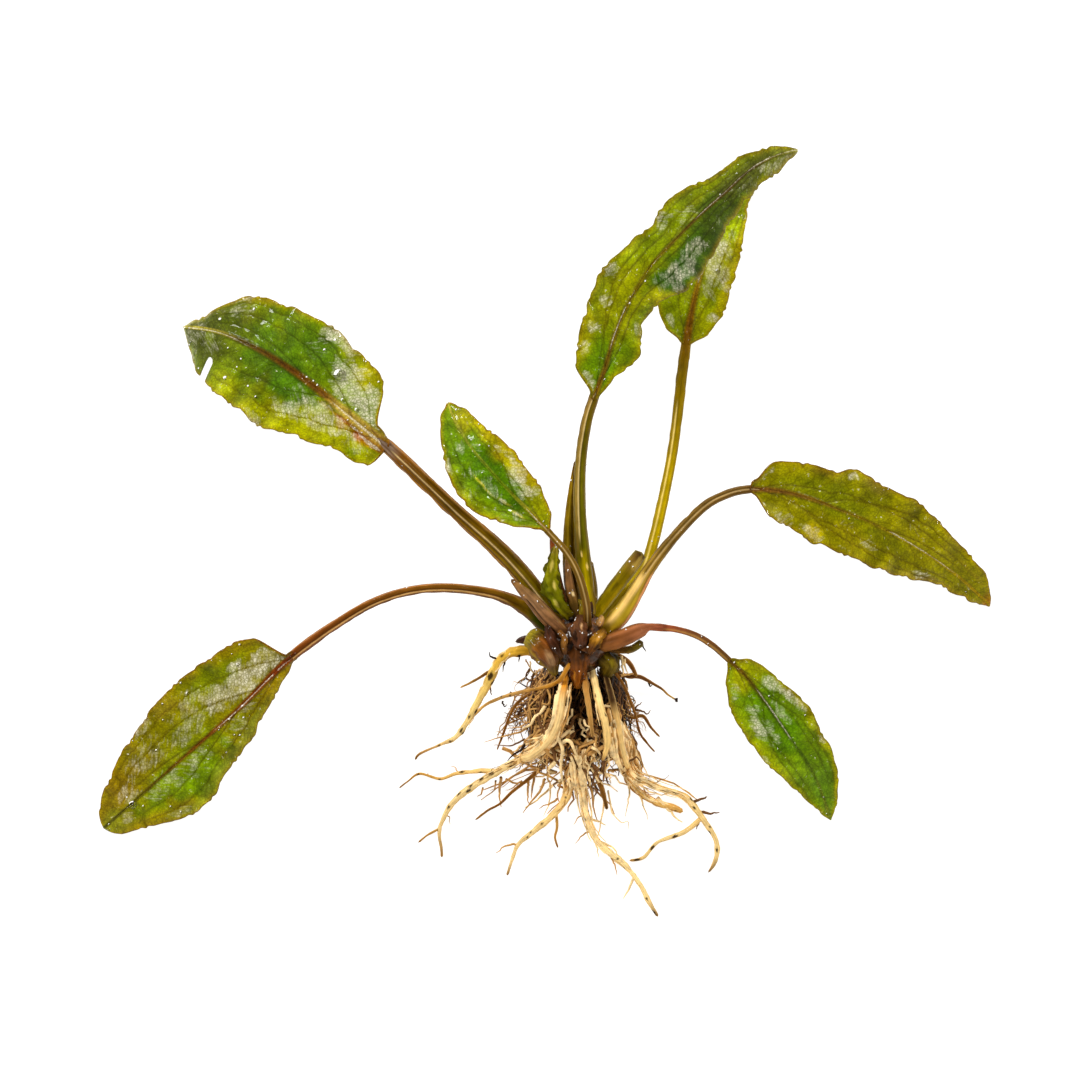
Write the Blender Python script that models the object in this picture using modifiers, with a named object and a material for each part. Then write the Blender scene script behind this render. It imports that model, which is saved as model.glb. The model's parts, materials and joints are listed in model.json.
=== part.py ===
"""A bare-rooted cryptocoryne, lying on a surface at z = 0 with its leaves spread.

Lengths below are millimetres. +X is the plant's right and +Y the way that its leaves point.
The origin is on the surface under the root mass, and +Z points up.
"""

import math

import bmesh
import bpy
import numpy as np

MM = 0.001
GAP = 0.3  # clearance between two pieces that touch
STEP = 3.0  # distance between two sections of a stalk or a root
CROWN_STEP = 2.1  # the same for the short pieces of the crown
CURVE_SAMPLES = 12  # points worked out on a smooth curve between two of its rows
STALK_SIDES = 8
ROOT_SIDES = 6
THINNEST = 0.2  # smallest radius of a root or stalk

LEAF_THICKNESS = 0.7
LEAF_CELL = 3.2  # length of a leaf's cells
HALF_CELLS = 3  # cells from the midrib to a margin
LEAF_REST = 0.4  # lowest height of a leaf's middle plane
HEADING_REACH = 0.02  # share of a midrib, to each side, over which its heading is read

RHIZOME_CENTRE = (1.0, 12.0, 8.5)
RHIZOME_RADII = (6.2, 6.5, 6.5)
RHIZOME_CELLS = (16, 10)  # round it and from pole to pole

MASS_CENTRE = (0.3, -5.0, 3.0)
MASS_RADII = (10.4, 12.0, 11.0)
MASS_SQUARENESS = 3  # 2 would be an ellipse from above
MASS_SLOPE = 0.03  # how fast the root mass gets lower, for each millimetre past its middle
MASS_DENTS = 0.09  # depth of the dents between its strands, as a share of its radius
MASS_STRANDS = 9
MASS_LEAN = 3  # how far its strands lean, in radians from its middle to its top
MASS_CELLS = (28, 14)

BITE_CENTRE = (-72.6, 65.4)  # the bite out of the upper left leaf
BITE_RADII = (1.2, 2.8)
BITE_REACH = 20.0  # height of its cutter
BITE_SIDES = 8

LEAF_ROUGHNESS = 0.3
STALK_ROUGHNESS = 0.35
CROWN_ROUGHNESS = 0.4
ROOT_ROUGHNESS = 0.5
MASS_ROUGHNESS = 0.8

# A stalk's rows are x, y, z and radius, from the crown to its leaf. A midrib's rows are x, y, z.
# The half widths are evenly spaced from the leaf's base to its tip, on the left and on the right
# of someone who walks to the tip. A lift is how far the margin is above the midrib at the base,
# the middle and the tip. A ruffle is the height of the margin's waves.
LEAVES = {
    "lower_left": {
        "colour": "6F7200",
        "stalk": [
            (-2.5, 13.6, 5.5, 1.6), (-6, 15.6, 6.2, 2), (-10, 18.7, 8, 1.6), (-14.9, 21, 10, 1.15),
            (-20.8, 22.2, 12, 1), (-27, 22.6, 13, 0.95), (-33.5, 21.8, 13.5, 0.95),
            (-40.4, 19.4, 13, 0.95), (-47.3, 15.3, 11.5, 1), (-52, 12.1, 10, 1.1),
        ],
        "midrib": [
            (-55.2, 9.7, 9.2), (-59.4, 5.9, 8.6), (-66.4, -1.1, 7.5), (-74.4, -8.2, 6.3),
            (-82.5, -15.3, 4.6), (-88.6, -20.7, 2.6), (-94.2, -25.5, 0.4),
        ],
        "left": [1, 2, 3.4, 4.3, 6.1, 7, 8, 9.6, 10, 8.8, 6.4, 4.5, 2.2],
        "right": [1.8, 8.1, 10.3, 11.2, 11.9, 12, 11.9, 11, 9.9, 8.8, 7, 5.2, 2],
        "lift_left": (-0.5, -2, -0.5),
        "lift_right": (1.5, 1, 0),
        "ruffle": 0.3,
        "waves": 5,
    },
    "upper_left": {
        "colour": "6A8F08",
        "stalk": [
            (-2.7, 15.2, 8.5, 1.8), (-6, 19.6, 9.5, 1.8),
            (-10.9, 25.7, 12, 1.9), (-15.8, 30.8, 13.8, 1.8),
            (-22.7, 36.9, 15.3, 1.6), (-28.5, 42.4, 16, 1.5), (-33.4, 47.1, 16.2, 1.5),
        ],
        "midrib": [
            (-36.7, 50.2, 16.2), (-44.1, 56.2, 17.2), (-51.9, 62.6, 17.5), (-59.8, 68, 16.5),
            (-67.8, 72, 14), (-72.9, 73.5, 11.5), (-77.4, 74.1, 8.5),
        ],
        "left": [5.5, 6.6, 7.2, 9.1, 10.3, 12.2, 12.8, 12.2, 11.9, 11.2, 9.9, 7.5, 1.1],
        "right": [1.1, 6, 9.1, 10.6, 10.7, 11.5, 11.4, 10.6, 10, 9.4, 5.9, 2.5, 0.5],
        "lift_left": (0.5, -1, -2),
        "lift_right": (1, 0.5, -2),
        "ruffle": 0.4,
        "waves": 6,
    },
    "front": {
        "colour": "5C8A0C",
        "stalk": [
            (2.4, 14.7, 13, 0.9), (2, 19.7, 18.5, 0.85), (0.4, 25.4, 21, 0.8), (-2, 29.7, 22.3, 0.75),
        ],
        "midrib": [
            (-5.5, 33.7, 23.5), (-8.9, 37.4, 24.6), (-12.8, 41.3, 25.2), (-16.6, 45.5, 25.2),
            (-20.5, 50.2, 24.3), (-23.5, 55.2, 22.6), (-24.9, 58.6, 21),
        ],
        "left": [0.5, 1.9, 4.4, 5.6, 7.1, 7.9, 7.8, 7.4, 6.4, 5, 4, 2.5, 0.5],
        "right": [1.2, 3, 4.2, 5.1, 5.3, 5.7, 5.8, 5.6, 5, 4.4, 3.7, 2.7, 1],
        "lift_left": (0.5, 1.2, 0.3),
        "lift_right": (0.5, 1.2, 0.3),
        "ruffle": 0.25,
        "waves": 5,
    },
    "top": {
        "colour": "6E8C05",
        "stalk": [
            (2.5, 16.6, 9, 1.7), (2.1, 22.1, 10, 1.7), (1.5, 28.1, 11, 1.6), (0.9, 35.9, 12.6, 1.3),
            (0.8, 43.8, 14, 1.2), (1.2, 49.6, 15, 1.15), (2.2, 55.5, 16, 1.1),
        ],
        "midrib": [
            (3.4, 59.4, 16.5), (5.7, 65.6, 17.6), (7.6, 72, 18.3), (10.5, 78.7, 18.8), (14.4, 85, 19),
            (19.3, 90.4, 18.7), (24.2, 95.4, 18), (29.1, 99.8, 17), (34.1, 104.4, 15.6),
            (39.1, 107.3, 13.8), (43.7, 108.7, 12),
        ],
        "left": [0.9, 5.8, 6.7, 7.2, 7.7, 6.6, 5.4, 6.5, 5.5, 3.9, 3.4, 2.1, 0.5],
        "right": [0.8, 2.7, 6, 4.4, 5, 7.7, 8.3, 7.1, 5.4, 4, 3.6, 2.9, 0.5],
        "lift_left": (1, 1, 0),
        "lift_right": (0.5, -3.5, -1),
        "ruffle": 0.7,
        "waves": 7,
    },
    "back": {
        "colour": "7E9410",
        "stalk": [
            (3.9, 15.2, 5.4, 1.5), (8.9, 20.7, 4, 1.4), (13.5, 25.6, 3.6, 1.3), (15.9, 33, 3.6, 1.2),
            (17.9, 41.9, 4, 1.15), (19.4, 49.9, 4.5, 1.1), (20.4, 57.8, 5, 1.1), (21.2, 64.8, 5, 1.15),
        ],
        "midrib": [
            (22, 70.7, 4.7), (22.8, 75.7, 5), (24, 81.3, 4.8), (25.6, 86.7, 4.2), (28, 92.1, 3.5),
            (31.3, 97.6, 2.2), (33.9, 100.8, 1.2), (36.3, 103.5, 0.4),
        ],
        "left": [1.3, 4.6, 6.8, 7.6, 7.6, 7.3, 6.5, 5.6, 4.7, 3.7, 2.6, 1.6, 0.5],
        "right": [1.2, 4.2, 5.8, 6.5, 6.6, 6.6, 6.4, 5.9, 5.1, 4, 2.5, 1.2, 0.5],
        "lift_left": (0.5, 1, 0),
        "lift_right": (0.5, 1, 0),
        "ruffle": 0.3,
        "waves": 5,
    },
    "right": {
        "colour": "6C7204",
        "stalk": [
            (5.2, 13.7, 11.5, 1.8), (8.7, 17.1, 12.5, 2),
            (12, 22.2, 13.2, 1.6), (14.6, 26.5, 13.6, 1.25),
            (19.5, 32.8, 14, 1.05), (25.4, 38.7, 13.5, 0.95), (30.3, 41.2, 12.6, 0.9),
        ],
        "midrib": [
            (34.3, 42, 12), (40.2, 41.6, 12.6), (46.1, 40.1, 12.6), (52, 37.9, 12), (58, 35.5, 11),
            (64.1, 32.4, 9.5), (70.2, 28.8, 7.4), (76.4, 24.5, 4.4), (81.7, 20, 1.2), (82.8, 18.8, 0.4),
        ],
        "left": [1.9, 5.7, 6.6, 6.7, 8.7, 7.7, 8, 7.7, 6.6, 5.4, 4.8, 3.7, 0.5],
        "right": [0.9, 5.7, 6.5, 8, 7.8, 8, 7.8, 7.2, 6.1, 4.1, 3.4, 2.2, 0.5],
        "lift_left": (0.8, 0.8, -0.3),
        "lift_right": (0.5, -1.2, -0.6),
        "ruffle": 0.6,
        "waves": 6,
    },
    "lower_right": {
        "colour": "5E9410",
        "stalk": [
            (4.4, 11.2, 14, 1.6), (9.1, 12.8, 14.6, 1.8),
            (12.6, 14.6, 14.6, 1.3), (15.5, 14.9, 14.2, 0.8),
            (19.5, 14.5, 13.4, 0.7), (23.5, 13.3, 12.4, 0.7), (26.9, 11.3, 11.1, 0.7),
        ],
        "midrib": [
            (30.3, 8.3, 9.5), (33.5, 5.2, 9.4), (36.5, 1.4, 9), (39.5, -2.8, 8.2), (42.5, -7.2, 7),
            (45.6, -11.5, 5.3), (48.1, -15.9, 3.3), (50, -20.8, 1.3), (51.1, -23.9, 0.4),
        ],
        "left": [1, 3.1, 4.4, 5, 6, 6.6, 6.4, 5.6, 5.7, 4.8, 3.8, 2.5, 0.5],
        "right": [1, 4.2, 6, 6.9, 7.2, 7.1, 6.9, 6.5, 5.8, 4.9, 3.8, 2.2, 0.5],
        "lift_left": (0.8, 0.8, 0),
        "lift_right": (0.8, 0.6, 0),
        "ruffle": 0.25,
        "waves": 4,
    },
}

# Each row is x, y, z and radius, from the rhizome outwards.
CROWN = {
    "leaf_spear": [
        (0.1, 17.7, 7, 1.1), (-0.7, 22.1, 7.6, 1.4), (-1.1, 28, 8.6, 1.5), (-1.1, 34, 9.4, 1.3),
        (-0.9, 38.9, 10, 1), (-0.5, 43.8, 10.6, 0.6), (-0.1, 47.6, 11, 0.25),
    ],
    "leaf_young": [
        (-1.1, 16.7, 12.5, 1.3), (-3.5, 19.8, 14.4, 1.5), (-4.8, 23, 14.8, 1.9), (-4.6, 26.5, 14.8, 1.4),
        (-4.1, 29.5, 14.8, 0.9), (-3.9, 31, 14.8, 0.4),
    ],
    "stalk_cut": [
        (2.5, 15, 6.5, 1.2), (5.2, 19, 7.3, 1.4), (7.8, 22.5, 8.3, 1.5), (10.8, 26.5, 9.4, 1.5),
        (13.1, 29.6, 9.8, 1.3),
    ],
    "sheath_upper_left": [
        (-1.9, 13.1, 12.5, 1.5), (-5.6, 16.9, 14.5, 1.6), (-8, 19.7, 14.6, 1.4), (-10.5, 22.2, 14.3, 1),
        (-12.7, 24.3, 13.8, 0.35),
    ],
    "sheath_back": [
        (-0.7, 16.6, 9.6, 0.9), (-2.5, 20.2, 9.9, 1), (-3.8, 25.1, 10.3, 0.9), (-4.4, 29.6, 10.6, 0.7),
        (-4.8, 33.2, 10.8, 0.25),
    ],
    "sheath_middle": [
        (0.7, 15.9, 12, 1), (-0.7, 20.6, 13, 1.1), (-1.5, 24.9, 12.8, 0.9), (-1.7, 28.7, 12.5, 0.35),
    ],
    "sheath_right": [
        (3.3, 15.8, 5, 0.9), (3.6, 19.7, 4.6, 0.9), (3.6, 23.1, 5.5, 0.8), (3.2, 27.8, 6.8, 0.3),
    ],
    "sheath_lower_left": [
        (-9.7, 13.7, 13, 1.1), (-7.6, 11.8, 13.6, 2.1), (-5.4, 9.2, 13.6, 2.5), (-4.1, 5.9, 12.4, 1.1),
    ],
    "stub_left": [
        (-4.6, 13.4, 8.6, 1), (-8.8, 12.6, 9, 0.9),
        (-10.6, 12.2, 9, 0.75), (-11.9, 11.9, 9, 0.25),
    ],
    "stub_right": [(5.2, 10.8, 10.6, 0.8), (10.4, 10.4, 11.4, 0.8), (13.3, 12, 11.8, 0.8)],
    "old_leaf_foot": [
        (3.3, 11.1, 9.5, 1.6), (5.6, 9.1, 9.6, 2),
        (6.8, 7.3, 9.2, 2), (5.7, 4.7, 8.4, 1.2),
    ],
}

# The same rows for the roots. The roots in OVER_MASS are lifted to lie on the root mass where they
# cross it, and the others come out of it.
ROOTS = {
    "root_left_yellow": [
        (-3.8, 10.3, 9, 1.1), (-8, 10.1, 9, 1.15), (-11.3, 10.1, 9, 1.15), (-14.3, 8.9, 8.5, 1.05),
        (-16.1, 6.3, 8, 0.95), (-17.7, 2.9, 7, 0.85), (-19.5, -0.5, 5.4, 0.7), (-21.5, -4.2, 3.4, 0.6),
        (-23.9, -7.4, 1.8, 0.5), (-27, -8.9, 1, 0.3), (-31, -10.7, 0.7, 0.25), (-32, -12, 0.5, 0.25),
    ],
    "root_left_yellow_fork": [(-15.7, 6.8, 8, 0.4), (-20.1, 4.1, 7.2, 0.3), (-22.9, 2.7, 6.4, 0.2)],
    "root_left_golden": [
        (-1.1, 8, 13.2, 0.5), (-3, 4.6, 12.9, 0.5), (-5.4, 3.2, 0, 0.45), (-8.4, 2.5, 9, 0.4),
        (-11.9, 1.6, 6.8, 0.4), (-14.9, 0.6, 5, 0.35), (-17.5, -0.6, 3.4, 0.35), (-19.7, -2.5, 2.2, 0.3),
        (-22.3, -5.7, 1.2, 0.2),
    ],
    "root_left_main": [
        (-1.5, 7.6, 11, 0.7), (-2.4, 2, 0, 0.8), (-3.4, -3.6, 0, 1), (-5.4, -7.6, 0, 1.1),
        (-8.4, -10.4, 0, 1.2), (-11.9, -12.1, 6, 1.3),
        (-14.9, -13.7, 4.2, 1.25), (-18.9, -16.2, 2.8, 0.95),
        (-22.5, -18.6, 1.9, 0.7), (-25, -21.3, 1.4, 0.55),
        (-26.4, -23.9, 1.1, 0.45), (-27.2, -26.3, 0.9, 0.4),
        (-26.8, -28.9, 0.7, 0.35), (-26.6, -31.5, 0.5, 0.3),
    ],
    "root_left_main_fork": [
        (-15.6, -14, 3.6, 0.6), (-18.6, -14, 2.8, 0.5),
        (-21.4, -14.3, 1.8, 0.4), (-24, -14.7, 1.2, 0.35),
        (-27, -15.7, 0.9, 0.3), (-31, -14.7, 0.7, 0.25),
        (-33.4, -16.2, 0.6, 0.2), (-35.2, -17.6, 0.5, 0.2),
    ],
    "root_left_main_tip_fork": [
        (-27, -25.6, 0.9, 0.3), (-29.4, -26.9, 0.6, 0.25),
        (-31.4, -28.5, 0.5, 0.2),
    ],
    "root_left_fine": [
        (-6.4, 3.2, 7.5, 0.35), (-11.2, -0.1, 4.6, 0.35), (-13, -3, 3, 0.3), (-14.2, -6.3, 1.5, 0.3),
        (-15.6, -10, 0.5, 0.2),
    ],
    "root_lower_left": [
        (-0.6, -12.7, 5, 0.9), (-1, -16.7, 3.8, 0.85), (-2, -19.7, 2.8, 0.8), (-4, -22.4, 2.2, 0.7),
        (-6.4, -24.6, 1.7, 0.65), (-9, -26.7, 1.3, 0.55),
        (-11.4, -28.9, 1, 0.45), (-12.6, -31.9, 0.8, 0.35),
        (-13.6, -35.1, 0.5, 0.25),
    ],
    "root_lower_left_fork": [
        (-3.8, -21.9, 2.2, 0.35), (-3.6, -25.3, 1.2, 0.3),
        (-4, -27.4, 0.8, 0.25), (-3.4, -29.6, 0.5, 0.2),
    ],
    "root_lower_left_fine": [
        (-3.8, -10.1, 5, 0.5), (-6.8, -13.4, 3.4, 0.5),
        (-9.6, -15.9, 2.2, 0.4), (-12.6, -18.3, 1.3, 0.35),
        (-15, -20.7, 0.8, 0.3), (-17.4, -22, 0.6, 0.25), (-20, -24, 0.5, 0.2),
    ],
    "root_centre": [
        (-0.1, -10, 7, 1.2), (0.6, -14, 5.6, 1.2), (1.4, -18.7, 3.8, 1), (2.4, -23.3, 2.6, 0.95),
        (4, -27.4, 1.9, 0.85), (6.6, -30.2, 1.5, 0.75), (9.4, -32.3, 1.2, 0.6), (11.8, -35.1, 1, 0.5),
        (13.6, -37.9, 0.8, 0.5), (15, -40.7, 0.7, 0.45), (16.6, -43.3, 0.5, 0.3),
    ],
    "root_centre_short": [
        (2.9, -12.1, 5, 0.6), (4.8, -16.2, 3, 0.6),
        (5.8, -19.3, 2, 0.5), (6.4, -21.9, 1.2, 0.35),
    ],
    "root_front": [
        (2.8, 8.8, 11, 0.7), (3.8, 4, 0, 0.7), (4.8, -0.6, 0, 0.75), (6, -5, 0, 0.8),
        (6.2, -8.4, 0, 0.7), (5.2, -11.6, 0, 0.3),
    ],
    "root_front_thin": [
        (1.5, 8.4, 11, 0.55), (2, 3.2, 0, 0.6),
        (2.6, -1.2, 0, 0.55), (3.4, -6.8, 0, 0.3),
    ],
    "root_right_main": [
        (6, 5.4, 9, 0.6), (7.6, -1, 0, 0.8), (8.6, -6, 0, 0.9), (9.6, -11, 0, 1),
        (11.4, -14.6, 5, 1), (14.3, -16.3, 3.6, 1), (17.9, -17.8, 2.6, 1), (21.9, -19.2, 2, 1),
        (24.5, -22.3, 1.4, 0.8), (26.5, -25.1, 1.1, 0.55),
        (28.1, -27.9, 0.9, 0.5), (28.4, -30.5, 0.7, 0.5),
        (27.6, -33.1, 0.6, 0.4), (26.6, -34.5, 0.5, 0.2),
    ],
    "root_right_lower": [
        (8.6, -12.2, 3, 0.6), (11.3, -16.4, 1.8, 0.7), (13.6, -18.9, 1.3, 0.7), (16.6, -20.5, 1.1, 0.7),
        (19.4, -21.3, 1, 0.65), (21.6, -22.3, 0.9, 0.5),
    ],
    "root_right_curled": [
        (25.2, -23.5, 1.2, 0.5), (23, -25.5, 1, 0.55), (21, -26.7, 0.9, 0.5), (18.6, -27.5, 0.8, 0.45),
        (16.6, -28.3, 0.7, 0.35), (15.2, -29.7, 0.6, 0.35),
        (13.6, -31.5, 0.6, 0.35), (10.8, -32.1, 0.6, 0.25),
    ],
    "root_right_brown": [
        (6.6, 6.4, 8.6, 0.55), (10, 5.1, 7, 0.5), (12.9, 4.8, 5.4, 0.45), (15.3, 3.5, 3.6, 0.35),
        (17.3, 2.3, 2.2, 0.25), (18.6, 1.1, 1.2, 0.2), (20.2, 0, 0.5, 0.2),
    ],
    "root_right_stub": [(5.8, 10.3, 9.2, 0.5), (10.2, 8.1, 8.6, 0.55), (12.2, 4.9, 7.2, 0.35)],
    "root_right_fine": [
        (7.2, 6.6, 9.6, 0.35), (9.4, 3.6, 8.6, 0.35), (10.8, 0.4, 6.6, 0.35), (12, -2.9, 4.6, 0.3),
        (12.9, -6.4, 2.6, 0.3), (14.5, -8.7, 1.4, 0.25), (16, -10.4, 0.5, 0.2),
    ],
    "root_right_twig": [
        (8.6, -1, 4.4, 0.4), (11.1, -3.4, 2.9, 0.4), (13.5, -3.1, 2, 0.4), (15.2, -5.5, 1.1, 0.3),
        (17, -7.4, 0.5, 0.2),
    ],
}

OVER_MASS = ("root_left_golden", "root_left_main", "root_front", "root_front_thin", "root_right_main")

# Pieces that press on others give way to the ones named here.
GIVES_WAY_TO = {
    "stalk_lower_left": ["stalk_upper_left"],
    "stalk_cut": ["stalk_back"],
    "leaf_young": ["sheath_middle"],
    "sheath_right": ["stalk_back"],
    "stub_right": ["old_leaf_foot"],
    "root_left_yellow_fork": ["root_left_yellow"],
    "root_left_main_fork": ["root_left_main"],
    "root_left_main_tip_fork": ["root_left_main"],
    "root_lower_left_fork": ["root_lower_left"],
    "root_right_curled": ["root_right_main"],
    "root_lower_left": ["root_centre"],
    "root_right_brown": ["old_leaf_foot"],
    "root_right_stub": ["old_leaf_foot"],
    "root_right_fine": ["old_leaf_foot"],
    "root_right_main": ["old_leaf_foot"],
}

STALK_COLOURS = {
    "lower_left": "7A6A14", "upper_left": "6E5A12", "front": "77683A", "top": "7C7A20",
    "back": "99980F", "right": "6F6A3C", "lower_right": "8A6440",
}
CROWN_COLOURS = {
    "leaf_spear": "7C7008", "leaf_young": "8A9410", "stalk_cut": "7A7410", "sheath_upper_left": "7A5A3C",
    "sheath_back": "9A5A30", "sheath_middle": "8A6A4C", "sheath_right": "77653A",
    "sheath_lower_left": "7C5034", "stub_left": "2C1C14", "stub_right": "5A4E1C",
    "old_leaf_foot": "5C5A10",
}
RHIZOME_COLOUR = "2A1A10"
MASS_COLOUR = "3A2814"
PALE_ROOT = "D9BE88"
BROWN_ROOT = "7A5224"
BROWN_ROOTS = (
    "root_right_brown", "root_right_stub", "root_right_fine", "root_right_twig", "root_left_fine",
    "root_lower_left_fine",
)


def linear(hex_colour):
    """The linear red, green, blue and alpha of an sRGB hex colour."""
    channels = [int(hex_colour[i:i + 2], 16) / 255 for i in (0, 2, 4)]
    return [c / 12.92 if c <= 0.04045 else ((c + 0.055) / 1.055) ** 2.4 for c in channels] + [1.0]


def paint(obj, hex_colour, roughness):
    material = bpy.data.materials.new(obj.name)
    material.use_nodes = True
    shader = material.node_tree.nodes["Principled BSDF"]
    shader.inputs["Base Color"].default_value = linear(hex_colour)
    shader.inputs["Roughness"].default_value = roughness
    shader.inputs["Metallic"].default_value = 0.0
    obj.data.materials.append(material)


def smooth_route(rows, step):
    """Rows at even steps along the smooth curve through the given ones."""
    rows = np.array(rows, float)
    rows = np.vstack([2 * rows[0] - rows[1], rows, 2 * rows[-1] - rows[-2]])
    fine = []
    for before, start, end, after in zip(rows, rows[1:], rows[2:], rows[3:]):
        for t in np.linspace(0, 1, CURVE_SAMPLES, endpoint=False):
            bend = 2 * before - 5 * start + 4 * end - after
            twist = 3 * start - before - 3 * end + after
            fine.append(start + 0.5 * ((end - before) * t + bend * t**2 + twist * t**3))
    fine = np.array(fine + [rows[-2]])
    spans = np.linalg.norm(np.diff(fine[:, :3], axis=0), axis=1)
    lengths = np.concatenate([[0], np.cumsum(spans)])
    count = max(3, round(lengths[-1] / step) + 1)
    wanted = np.linspace(0, lengths[-1], count)
    return np.column_stack([np.interp(wanted, lengths, column) for column in fine.T])


def lowering(y):
    """How much lower the root mass is at this distance along the plant."""
    return 1 - MASS_SLOPE * max(0.0, MASS_CENTRE[1] - y)


def mass_top(x, y, clear):
    """The height of the root mass with this much room around it, or 0 beside it."""
    across = abs((x - MASS_CENTRE[0]) / (MASS_RADII[0] + clear)) ** MASS_SQUARENESS
    along = abs((y - MASS_CENTRE[1]) / (MASS_RADII[1] + clear)) ** MASS_SQUARENESS
    outward = (across + along) ** (1 / MASS_SQUARENESS)
    if outward >= 1:
        return 0.0
    return MASS_CENTRE[2] + (MASS_RADII[2] + clear) * lowering(y) * math.sqrt(1 - outward**2)


def lay_on_mass(rows):
    """Lifts the rows that cross the root mass until the root lies on it."""
    for row in rows:
        x, y, z, radius = row
        row[2] = max(z, mass_top(x, y, radius + GAP))
    return rows


def finish(name, bm, collection):
    mesh = bpy.data.meshes.new(name)
    bm.to_mesh(mesh)
    bm.free()
    mesh.shade_smooth()
    obj = bpy.data.objects.new(name, mesh)
    collection.objects.link(obj)
    return obj


def tube(name, rows, sides, collection, extra=0.0):
    """A round piece of changing radius along its rows, as a mesh, with this much extra all round."""
    rows = shortened(shortened(np.array(rows), -extra)[::-1], -extra)[::-1]
    curve = bpy.data.curves.new(name, "CURVE")
    curve.dimensions = "3D"
    curve.bevel_depth = MM
    curve.bevel_resolution = sides // 2 - 2
    curve.use_fill_caps = True
    spline = curve.splines.new("POLY")
    spline.points.add(len(rows) - 1)
    for point, (x, y, z, radius) in zip(spline.points, rows):
        point.co = (x * MM, y * MM, z * MM, 1)
        point.radius = max(radius, THINNEST) + extra
    guide = bpy.data.objects.new(name + "_curve", curve)
    collection.objects.link(guide)
    graph = bpy.context.evaluated_depsgraph_get()
    mesh = bpy.data.meshes.new_from_object(guide.evaluated_get(graph))
    bpy.data.objects.remove(guide)
    bm = bmesh.new()
    bm.from_mesh(mesh)
    bpy.data.meshes.remove(mesh)
    bmesh.ops.remove_doubles(bm, verts=bm.verts, dist=0.00001)
    bmesh.ops.recalc_face_normals(bm, faces=bm.faces)
    return finish(name, bm, collection)


def rhizome(name, collection, extra=0.0):
    bm = bmesh.new()
    bmesh.ops.create_uvsphere(bm, u_segments=RHIZOME_CELLS[0], v_segments=RHIZOME_CELLS[1], radius=1)
    for vert in bm.verts:
        for axis in range(3):
            radius = RHIZOME_RADII[axis] + extra
            vert.co[axis] = (RHIZOME_CENTRE[axis] + radius * vert.co[axis]) * MM
    return finish(name, bm, collection)


def root_mass(name, collection, extra=0.0):
    """A loaf of tangled roots: squarish from above, round on top and flat where it rests."""
    bm = bmesh.new()
    bmesh.ops.create_uvsphere(bm, u_segments=MASS_CELLS[0], v_segments=MASS_CELLS[1], radius=1)
    for vert in bm.verts:
        angle = math.atan2(vert.co.y, vert.co.x)
        power = MASS_SQUARENESS
        corner = (abs(math.cos(angle)) ** power + abs(math.sin(angle)) ** power) ** (-1 / power)
        strands = 0.5 + 0.5 * math.sin(MASS_STRANDS * angle + MASS_LEAN * vert.co.z)
        reach = corner * (1 - MASS_DENTS * strands)
        x = MASS_CENTRE[0] + (MASS_RADII[0] + extra) * reach * vert.co.x
        y = MASS_CENTRE[1] + (MASS_RADII[1] + extra) * reach * vert.co.y
        z = MASS_CENTRE[2] + (MASS_RADII[2] + extra) * lowering(y) * vert.co.z
        vert.co = (x * MM, y * MM, z * MM)
    if not extra:
        everything = bm.verts[:] + bm.edges[:] + bm.faces[:]
        bmesh.ops.bisect_plane(
            bm, geom=everything, plane_co=(0, 0, 0), plane_no=(0, 0, 1), clear_inner=True
        )
        rim = [edge for edge in bm.edges if edge.is_boundary]
        bmesh.ops.edgeloop_fill(bm, edges=rim)
    bmesh.ops.recalc_face_normals(bm, faces=bm.faces)
    return finish(name, bm, collection)


def blade(name, leaf, collection):
    """A leaf's blade: a grid laid along the midrib, as wide as the leaf and lifted at its margins."""
    midrib = smooth_route(leaf["midrib"], 1.0)
    stations = np.linspace(0, 1, len(midrib))
    spans = np.linalg.norm(np.diff(midrib, axis=0), axis=1)
    cells = round(spans.sum() / LEAF_CELL)
    bm = bmesh.new()
    bmesh.ops.create_grid(bm, x_segments=cells, y_segments=2 * HALF_CELLS, size=1)
    for vert in bm.verts:
        along = (vert.co.x + 1) / 2
        across = vert.co.y
        side = "left" if across > 0 else "right"
        middle = [np.interp(along, stations, column) for column in midrib.T]
        ahead = [np.interp(min(along + HEADING_REACH, 1), stations, column) for column in midrib.T]
        behind = [np.interp(max(along - HEADING_REACH, 0), stations, column) for column in midrib.T]
        heading = np.array([ahead[0] - behind[0], ahead[1] - behind[1]])
        heading /= np.linalg.norm(heading)
        widths = leaf[side]
        half_width = np.interp(along, np.linspace(0, 1, len(widths)), widths)
        out = across * half_width
        lift = np.interp(along, (0, 0.5, 1), leaf["lift_" + side])
        swing = math.sin(2 * math.pi * leaf["waves"] * along)
        wave = leaf["ruffle"] * swing * math.sin(math.pi * along)
        x = middle[0] - heading[1] * out
        y = middle[1] + heading[0] * out
        z = middle[2] + (lift + wave) * across**2
        vert.co = (x * MM, y * MM, max(z, LEAF_REST) * MM)
    obj = finish(name, bm, collection)
    solidify = obj.modifiers.new("Thickness", "SOLIDIFY")
    solidify.thickness = LEAF_THICKNESS * MM
    solidify.offset = 0
    return obj


def bite(name, collection):
    bm = bmesh.new()
    bmesh.ops.create_cone(
        bm, cap_ends=True, segments=BITE_SIDES, radius1=1, radius2=1, depth=2 * BITE_REACH
    )
    for vert in bm.verts:
        vert.co.x = BITE_CENTRE[0] + BITE_RADII[0] * vert.co.x
        vert.co.y = BITE_CENTRE[1] + BITE_RADII[1] * vert.co.y
        vert.co *= MM
    return finish(name, bm, collection)


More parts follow.
